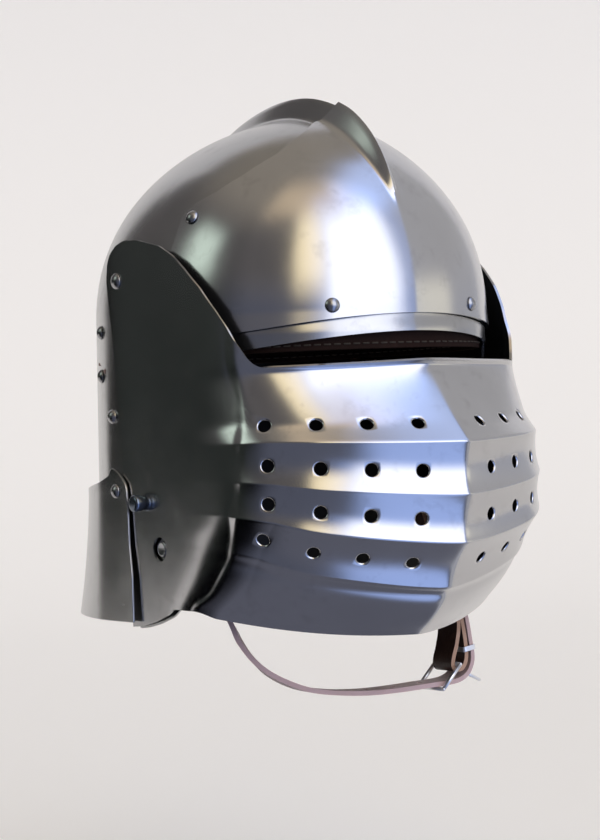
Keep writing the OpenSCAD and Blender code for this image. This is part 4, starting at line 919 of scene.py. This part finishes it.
def dome_profile(d, h, rim=0.35):
    """A hammered dome with a small upright rim, from its seat to its top."""
    r = ((d / 2) ** 2 + (h - rim) ** 2) / (2 * (h - rim))
    top = asin(min(1, d / 2 / r))
    turns = [top * (1 - k / 9) for k in range(1, 9)]
    out = [(0, 0), (d / 2 - 0.25, 0), (d / 2, 0.2), (d / 2, rim)]
    return out + [(r * sin(a), h - r + r * cos(a)) for a in turns] + [(0, h)]


def rod_profile(r, top, foot=0):
    return [(0, foot), (r, foot), (r, top), (0, top)]


def put_rivet(pile, p, n, grip, d=RIVET_D, head=(HEAD_D, HEAD_H), burr=BURR_H, wide=1.7, seat=SEAT_GAP):
    pile.turn([(r, z + seat) for r, z in dome_profile(*head)], 40, p, n)
    pile.turn(rod_profile(d / 2, seat + 0.3, -grip - 0.05), 24, p, n)
    w, foot, e = d * wide / 2, -grip - burr, 0.35
    pile.turn([(0, foot), (w - e, foot), (w, foot + e), (w, -grip), (0, -grip)], 32, p, n)


def put_washer(pile, p, n, depth, d=WASHER_D, bore=RIVET_D + 2 * FIT, t=0.8):
    r, r0, e = d / 2, bore / 2, 0.15
    prof = [(r0, 0), (r - e, 0), (r, e), (r, t - e), (r - e, t), (r0, t), (r0, 0)]
    pile.turn([(r, z - depth - t) for r, z in prof], 40, p, n)


def depth_to(p, n, off):
    t = 0.0
    for _ in range(6):
        q = p - n * t
        b = (FRONT if q[1] < 0 else REAR) + off
        g = ((abs(q[0]) / (HALF_W + off)) ** PLAN_N + (abs(q[1]) / b) ** PLAN_N) ** (1 / PLAN_N)
        t += (g - 1) * (q[0] * n[0] + q[1] * n[1])
    return t


def wall_rivet_p(side, y, z):
    p = array([side * side_w(y), y, z])
    n = plan_dir(*p[:2])
    return p + n * nape_out(y, z), n


def lining_rivet(pile, p, n, lift=0):
    """A rivet through plate and lining, with its washer on the leather's inner face."""
    depth = depth_to(p, n, BAND_IN)
    put_rivet(pile, p + n * lift, n, lift + depth + 1.2)
    put_washer(lining_w, p, n, depth + 0.3)


def make_sets(heads, rings):
    """The rivets' heads and the washers as pieces, each under the name of its kind."""
    for kind, pile in heads.items():
        pile.make(kind + "_rivet_heads", RIVET, "rivet", [kind + "_rivets"])
    for kind, pile in rings.items():
        pile.make(kind + "_rings", WASHER, "washer", [kind + "s"])


PLATE_FACE = PLATE_LAP + PLATE_T
SIDE_Y, LINING_Z, STRAP_Z, BACK_X, BROW_X, BROW_Z = 59.0, -3.0, -29.0, 45.0, 48.5, 2.4
CORNER_Y, CORNER_Z, NEAR = -36.0, 56.0, 2.0
STRAP_W, STRAP_T = 18.0, 2.8
brow_r, corner_r, lining_r, lining_w, strap_r, strap_w = (Pile() for _ in range(6))
strap_seats = {}
for side in (-1, 1):
    p = array([side * BROW_X, float(bowl(u_of(BROW_X), 0.0)[1]), BROW_Z])
    lining_rivet(brow_r, p, plan_dir(*p[:2]), PLATE_FACE)
    p = array([side * bowl_w(CORNER_Y, CORNER_Z), CORNER_Y, CORNER_Z])
    w = [bowl_w(CORNER_Y + a, CORNER_Z + b) for a, b in ((NEAR, 0), (-NEAR, 0), (0, NEAR), (0, -NEAR))]
    n = unit(side * np.cross([side * (w[0] - w[1]), 2 * NEAR, 0], [side * (w[2] - w[3]), 0, 2 * NEAR]))
    put_rivet(corner_r, p + n * PLATE_FACE, n, PLATE_FACE + SHEET + 0.5)
    rear_p = array([side * BACK_X, float(bowl(u_of(BACK_X), 180.0)[1]), LINING_Z])
    for p, n in (wall_rivet_p(side, SIDE_Y, LINING_Z), (rear_p, plan_dir(*rear_p[:2]))):
        lining_rivet(lining_r, p, n)
    p, n = wall_rivet_p(side, SIDE_Y, STRAP_Z)
    wall = nape_out(SIDE_Y, STRAP_Z)
    grip = SHEET + STRAP_T + wall + 1.65
    put_rivet(strap_r, p, n, grip + 0.9)
    put_washer(strap_w, p, n, grip)
    strap_seats[side] = (p - n * (SHEET + wall + STRAP_T / 2 + 0.56), n)
LOOP_P, LOOP_N = array([93.7, -13.5, -165]), array([0.995, -0.055, -0.085])
LOOP_GRIP = STRAP_T * 2 + 0.5
put_rivet(strap_r, LOOP_P + LOOP_N * LOOP_GRIP / 2, LOOP_N, LOOP_GRIP, head=(6, 1))
heads = {"brow": brow_r, "corner": corner_r, "lining": lining_r, "strap": strap_r}
make_sets(heads, {"lining_washer": lining_w, "strap_washer": strap_w})

PIVOT_D, PIVOT_HEAD_D, LAME_RIVET_D = 5.0, 9.4, 4.0
SHOULDER_R, SHOULDER_GAP = (PIVOT_D + 3.5) / 2, 0.55
pivot_r, pivot_w, lame_r, lame_s = (Pile() for _ in range(4))
for side in (-1, 1):
    n = (side, 0, 0)
    wing = wing_face(PIVOT_Y, PIVOT_Z)
    face = wing + 0.3
    inner = bowl_w(PIVOT_Y, PIVOT_Z + WASHER_D / 2 + 1) - SHEET - 0.35
    p = (side * face, PIVOT_Y, PIVOT_Z)
    put_rivet(pivot_r, p, n, face - inner + 0.9, PIVOT_D, (PIVOT_HEAD_D, HEAD_H), 0.8, 1.6, 0)
    skull_at = bowl_w(PIVOT_Y, PIVOT_Z - SHOULDER_R) + 0.1
    shoulder = rod_profile(SHOULDER_R, wing - VISOR_T - SHOULDER_GAP - skull_at)
    pivot_r.turn(shoulder, 40, (side * skull_at, PIVOT_Y, PIVOT_Z), n)
    put_washer(pivot_w, (side * inner, PIVOT_Y, PIVOT_Z), n, 0, WASHER_D + 2, PIVOT_D + 2 * FIT)
    lame_in = float(side_w(LAME_Y) + LAME_GAP + lame_out(LAME_Y, LAME_Z))
    face = lame_in + LAME_T + 0.3
    inner = side_w(LAME_Y + 4) - SHEET - 0.3
    put_rivet(lame_r, (side * face, LAME_Y, LAME_Z), n, face - inner, LAME_RIVET_D, wide=1.6, seat=0)
    top = lame_in - 0.4
    thick = top - (side_w(LAME_Y - 4) + 0.3)
    put_washer(lame_s, (side * top, LAME_Y, LAME_Z), n, 0, LAME_RIVET_D + 3.4, LAME_RIVET_D + 2 * FIT, thick)
make_sets({"pivot": pivot_r, "lame": lame_r}, {"pivot_washer": pivot_w, "lame_spacer": lame_s})

# ---- peg, stud and spring
PEG_Y, PEG_Z, PEG_D, PEG_OUT = 0.0, -104.0, 10.0, 7.5
RIGHTWARD = (-1, 0, 0)
peg = Pile()
face = wing_face(PEG_Y + PEG_D / 2, PEG_Z) + 0.1
r = PEG_D / 2
prof = [(0, 0), (r - 0.8, 0), (r - 0.8, 1.5), (r - 0.7, 1.9), (r - 0.15, 2.3), (r, 2.6), (r, PEG_OUT - 1.9)]
prof += [(r - a, PEG_OUT - b) for a, b in ((0.12, 1.3), (0.5, 0.6), (1.1, 0.2), (1.8, 0), (r, 0))]
peg.turn(prof, 48, (-face, PEG_Y, PEG_Z), RIGHTWARD)
inner = wing_face(PEG_Y - PEG_D / 2, PEG_Z) - VISOR_T
peg.turn(rod_profile(RIVET_D / 2, face + 1 - inner), 24, (-inner, PEG_Y, PEG_Z), RIGHTWARD)
peg.make("lifting_peg_turned", PEG, "peg", ["lifting_peg"], "visor")

stud_face = side_w(STUD_Y) + 4 - 1.7
leaf_x = side_w(STUD_Y - 8) - SHEET - 0.5 - 0.6
inner = leaf_x - 0.8
stud = Pile()
length = stud_face - (inner + 1.6)
r = STUD_D / 2
turned = ((0, 0.9), (0.2, 0.35), (0.7, 0.05), (1.2, 0), (2.2, 0.25), (r, 0.45))
prof = [(0, 0), (r, 0)] + [(r - a, length - b) for a, b in turned]
shank = rod_profile(RIVET_D / 2, 3)
burr = [(0, 0), (RIVET_D * 0.6, 0), (RIVET_D * 0.85, 0.35), (RIVET_D * 0.85, 1), (0, 1)]
for x, prof, steps in ((inner + 1.6, prof, 48), (inner, shank, 24), (inner - 1, burr, 32)):
    stud.turn(prof, steps, (-x, STUD_Y, STUD_Z), RIGHTWARD)
stud.make("catch_stud_turned", STUD, "rivet", ["catch_stud"], "catch")
for name, mat in (("catch_leaf_spring", SPRING), ("catch_spring_rivet", RIVET)):
    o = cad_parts[name]
    o.data.materials.clear()
    o.data.materials.append(mat)

# ---- chin strap
WIRE_D, BUCKLE_W, PRONG_D, PRONG_LEN = 2.6, 24.0, 2.2, 28.5
BAR, LOW_BAR = array([83.2, -30, -213]), array([69.5, -30, -226.6])
PRONG_DIR = array([0.893, 0, -0.45])
FOLD_R = WIRE_D / 2 + STRAP_T / 2 + 0.3


def route(side, places):
    """A strap's places, each with the way that its outer face looks, from its seat on the wall on."""
    p, n = strap_seats[side]
    return [((p[0], p[1], z), tuple(n)) for z in (STRAP_Z + 6, STRAP_Z)] + [(q[:3], q[3:]) for q in places]


SHORT = route(1, [
    (96.3, 48, -50, 0.97, 0.24, 0), (96.5, 28, -92, 1, 0.08, 0), (95, 4, -138, 1, 0, 0.06),
    (92.2, -13.5, -165, 1, 0, 0.06), (91.2, -20, -175, 1, 0, 0), (88.9, -26, -190, 0.96, 0, -0.25),
    (84.5, -29, -201, 0.9, 0, -0.4), (81, -30, -208.6, 0.95, 0, -0.3),
    (BAR[0] - FOLD_R, -30, BAR[2], 1, 0, 0),
    (BAR[0] - FOLD_R * 0.71, -30, BAR[2] - FOLD_R * 0.71, 0.71, 0, 0.71),
    (BAR[0], -30, BAR[2] - FOLD_R, 0, 0, 1), (86.4, -30, -216.1, -0.2, 0, 1),
    (89.3, -30, -213.8, -0.8, 0, 0.6), (90.9, -30, -209.6, -0.97, 0, 0.22), (91.3, -29.6, -204, -1, 0, 0),
    (91.6, -28.6, -198, -1, 0, 0), (92.2, -25.6, -189, -0.99, 0, 0.1), (94.2, -20, -175, -1, 0, 0),
    (95.2, -13.5, -165, -1, 0, -0.06), (95.8, -9.5, -158, -1, 0, -0.06),
])
LONG = route(-1, [
    (-93, 46.5, -50, -0.93, 0.36, 0), (-87.2, 31, -78, -0.9, 0.43, 0), (-80, 8, -119, -0.86, 0.52, 0),
    (-74, -10, -152, -0.82, 0.57, -0.1), (-69.6, -24, -177.5, -0.79, 0.57, -0.2),
    (-66.5, -27, -187, -0.74, 0.5, -0.45), (-58.5, -29, -198.4, -0.58, 0.36, -0.73),
    (-45.5, -30, -208.7, -0.4, 0.16, -0.9), (-26.5, -30, -217.2, -0.28, 0.05, -0.95),
    (-5, -30, -221.6, -0.12, 0, -1), (17, -30, -223.8, -0.05, 0, -1), (40, -30, -224.3, 0, 0, -1),
    (62, -30, -223.8, 0.02, 0, -1), (76, -30, -223.6, 0.1, 0, -1), (85.5, -30, -222.4, 0.3, 0, -0.95),
    (91.8, -30, -219, 0.7, 0, -0.7), (95.2, -30, -213.5, 0.92, 0, -0.38), (96, -30, -208, 1, 0, 0),
    (95.5, -29.4, -202, 1, 0, 0), (95.4, -27, -190.5, 0.99, 0, -0.1), (97.3, -20, -175.5, 1, 0, 0),
    (97.6, -18.5, -172, 1, 0, 0),
])


def ease(a, b, c, d, f):
    square, cube = 2 * a - 5 * b + 4 * c - d, 3 * b - a - 3 * c + d
    return 0.5 * (2 * b + (c - a) * f + square * f * f + cube * f ** 3)


def spline(places, k, s):
    pts = array([q[k] for q in places], float)
    last = len(pts) - 1
    i = minimum(np.floor(s).astype(int), last - 1)
    f = (s - i)[..., None]
    return ease(pts[maximum(i - 1, 0)], pts[i], pts[i + 1], pts[minimum(i + 2, last)], f)


def ribbon_surface(places):
    """The outer face of a strap: s runs along its places, w across it from -1 to 1."""
    def at(s, w):
        a, b = maximum(s - 0.04, 0), minimum(s + 0.04, len(places) - 1)
        run = unit(spline(places, 0, b) - spline(places, 0, a))
        face = spline(places, 1, s)
        out = unit(face - np.sum(face * run, -1, keepdims=True) * run)
        return spline(places, 0, s) + np.cross(run, out) * (w * STRAP_W / 2)[..., None] + out * STRAP_T / 2
    return at


def strap(name, places, node, mat, edge, holes):
    last = len(places) - 1
    chart = Chart(ribbon_surface(places), linspace(0, last, count(last * 11)), linspace(-1, 1, 13))
    for p in holes:
        chart.hole(p, (PRONG_D + 1.6) / 2)
    o = add(name, chart.verts, [f[::-1] for f in chart.faces()], mat, [node])
    o.data.materials.append(edge)
    thicken(o, STRAP_T, 0.55, segments=3).modifiers["thickness"].material_offset_rim = 1


long_holes = [ribbon_surface(LONG)(array(12 + k), array(0.0)) for k in (0.1, 1.0, 1.9)]
long_holes += [BAR + PRONG_DIR * 11.5 + array([0.6, 0, -0.3])]
strap("chin_strap_long_leather", LONG, "chin_strap_long", STRAP_LONG, STRAP_LONG, long_holes)
strap("chin_strap_short_leather", SHORT, "chin_strap_short", STRAP_SHORT_PAINTED_SHADE, STRAP_EDGE, [])

# ---- buckle, prong and keeper
half = array([0, BUCKLE_W / 2, 0])
corners = [BAR - half, BAR + half, LOW_BAR + half, LOW_BAR - half]
frame_pile = Pile()
r = WIRE_D * 1.02 / 2
knee = lathe([(0, -r)] + [(r * sin(pi * k / 12), -r * cos(pi * k / 12)) for k in range(1, 12)] + [(0, r)], 24)
for a, b in zip(corners, corners[1:] + corners[:1]):
    frame_pile.turn(rod_profile(WIRE_D / 2, norm(b - a)), 24, a, b - a)
    frame_pile.put(*knee, Matrix.Translation(Vector(a)))
frame_pile.make("buckle_wire", NICKEL, "buckle", ["buckle_frame"])
prong = Pile()
eye_r, bore_r, h = (WIRE_D + 0.3 + 2 * PRONG_D - 1.2) / 2, (WIRE_D + 0.3) / 2, PRONG_D / 2
prof = [(bore_r, -h + 0.4), (bore_r + 0.4, -h), (eye_r - 0.5, -h), (eye_r, -h + 0.5), (eye_r, h - 0.5)]
prof += [(eye_r - 0.5, h), (bore_r + 0.4, h), (bore_r, h - 0.4), (bore_r, -h + 0.4)]
prong.turn(prof, 40, BAR, (0, 1, 0))
eye_out = WIRE_D / 2 + 0.6
length = PRONG_LEN - eye_out
prof = [(0, 0), (h, 0), (h, length * 0.7), (h - 0.05, length - 1.2), (h - 0.35, length - 0.35), (0, length)]
prong.turn(prof, 24, BAR + PRONG_DIR * eye_out, PRONG_DIR)
prong.make("buckle_prong_bent", NICKEL, "buckle", ["buckle_prong"], "prong")

KEEPER_P, KEEPER_H, KEEPER_T = (93.3, -29.6, -204), 3.2, 1.1
kx, ky = (2 * STRAP_T + 2.4) / 2, (STRAP_W + 1.2) / 2


def rounded_loop(hx, hy, r, steps=6):
    out = []
    for i, (x, y) in enumerate(((1, 1), (-1, 1), (-1, -1), (1, -1))):
        turns = [radians(90 * (i + k / steps)) for k in range(steps + 1)]
        out += [(x * (hx - r) + r * cos(a), y * (hy - r) + r * sin(a)) for a in turns]
    return out


loops = rounded_loop(kx + KEEPER_T, ky + KEEPER_T, 2.0), rounded_loop(kx, ky, 0.9)
n = len(loops[0])
verts = [(*p, z) for z in (-KEEPER_H / 2, KEEPER_H / 2) for loop in loops for p in loop]
faces = []
for k in range(n):
    m = (k + 1) % n
    faces += [(k, m, 2 * n + m, 2 * n + k), (n + k, 3 * n + k, 3 * n + m, n + m)]
    faces += [(k, n + k, n + m, m), (2 * n + k, 2 * n + m, 3 * n + m, 3 * n + k)]
keeper = Pile()
keeper.put(verts, faces, Matrix.Translation(Vector(KEEPER_P)) @ Matrix.Rotation(radians(-8), 4, "Y"))
bevel(keeper.make("strap_keeper_bent", NICKEL, "buckle", ["strap_keeper"]), 0.35 / 1000)

# ---- stage and light
FLOOR_Z, STAGE_HALF_W, SWEEP_AT, SWEEP_R, WALL_TOP = -0.46, 2.6, 2.0, 1.4, 5.0
away, sidew = array([0.5821, 0.8131]), array([0.8131, -0.5821])
profile = [(0.02, 0), (1.0, 0)]
profile += [(SWEEP_AT + SWEEP_R * sin(a), SWEEP_R - SWEEP_R * cos(a)) for a in linspace(0, pi / 2, 16)]
profile += [(SWEEP_AT + SWEEP_R, WALL_TOP)]
verts = [(*(away * d + sidew * w), FLOOR_Z + z) for d, z in profile for w in (-STAGE_HALF_W, STAGE_HALF_W)]
faces = [(2 * k, 2 * k + 1, 2 * k + 3, 2 * k + 2) for k in range(len(profile) - 1)]
backdrop = mesh_object("backdrop", verts, faces)
backdrop.data.shade_smooth()

# The backdrop is pale to the eye and in the metal, and still takes the object's shadow.
BACKDROP_TONE = (0.74, 0.71, 0.66, 1)
n = Finish("backdrop")
ray = n.new("LightPath").outputs
mirrored = n.math("MAXIMUM", ray["Is Glossy Ray"], ray["Is Transmission Ray"])
glow = n.math("MULTIPLY", n.math("MAXIMUM", ray["Is Camera Ray"], mirrored), 0.38)
tones = {"Base Color": BACKDROP_TONE, "Emission Color": BACKDROP_TONE}
backdrop.data.materials.append(n.shade({**tones, "Roughness": 1, "Emission Strength": glow}))


class Sky(Nodes):
    """The light: soft patches in directions round the camera's axis, in degrees to its right and up."""

    def __init__(self):
        scene.world = bpy.data.worlds.new("studio")
        super().__init__(scene.world)
        x, y, z = (self.dot(v) for v in (right, up, back))
        self.turn = self.math("ARCTAN2", x, z)
        self.rise = self.math("ARCSINE", y)
        self.total = None

    def dot(self, v):
        inputs = {0: self.coord.outputs["Generated"], 1: v}
        return self.new("VectorMath", inputs, operation="DOT_PRODUCT").outputs["Value"]

    def step(self, source, at, soft, low, high):
        ends = {"From Min": radians(at - soft / 2), "From Max": radians(at + soft / 2)}
        inputs = {"Value": source, **ends, "To Min": low, "To Max": high}
        return self.new("MapRange", inputs, interpolation_type="SMOOTHSTEP").outputs["Result"]

    def band(self, source, ends, soft):
        rising, falling = self.step(source, ends[0], soft, 0, 1), self.step(source, ends[1], soft, 1, 0)
        return self.math("MULTIPLY", rising, falling)

    def patch(self, turn, rise, colour, soft=10, soft_rise=None):
        """Adds light between two turns and two rises, with soft edges."""
        across, upward = self.band(self.turn, turn, soft), self.band(self.rise, rise, soft_rise or soft)
        inputs = {0: self.math("MULTIPLY", across, upward), 1: colour, 2: self.total}
        self.total = self.new("VectorMath", inputs, operation="MULTIPLY_ADD").outputs["Vector"]

    def finish(self, plain):
        """The camera sees the sky as one plain colour, as pale as the backdrop."""
        inputs = {0: self.new("LightPath").outputs["Is Camera Ray"], 6: self.total, 7: (*plain, 1)}
        seen = self.new("Mix", inputs, data_type="RGBA").outputs["Result"]
        self.new("OutputWorld", {"Surface": self.new("Background", {"Color": seen}).outputs["Background"]})


sky = Sky()
ALL = (-200, 200)
for patch in (
    (ALL, (-100, -52), (0.15, 0.155, 0.20), 24), ((-48, 200), (-52, 10), (0.125, 0.135, 0.185), 26),
    ((-40, 200), (8, 200), (0.14, 0.13, 0.13), 20), ((-200, -40), (12, 200), (0.14, 0.13, 0.13), 30),
    (ALL, (52, 200), (0.22, 0.19, 0.14), 30), ((9, 74), (-8, 68), (0.18, 0.30, 0.66), 16),
    ((17, 62), (-3, 54), (1.80, 1.75, 1.68), 8, 22), ((20, 56), (-62, -6), (0.42, 0.60, 1.15), 12, 16),
    ((38, 120), (50, 76), (0.42, 0.62, 1.15), 16), ((-4, 15), (12, 56), (1.60, 1.32, 0.78), 6, 24),
    ((-35, 55), (56, 78), (0.5, 0.36, 0.2), 16), ((-84, -62), (15, 40), (0.95, 1.15, 0.98), 13),
    ((72, 200), (-60, 50), (0.40, 0.40, 0.41), 14), ((-200, -150), (-60, 50), (0.50, 0.44, 0.36), 20),
    ((-125, -50), (-14, 16), (0.028, 0.033, 0.030), 22), ((76, 104), (0, 13), (0.60, 0.55, 0.38), 9),
):
    sky.patch(*patch)
sky.finish((0.78, 0.75, 0.70))

scene.view_settings.view_transform = "Standard"
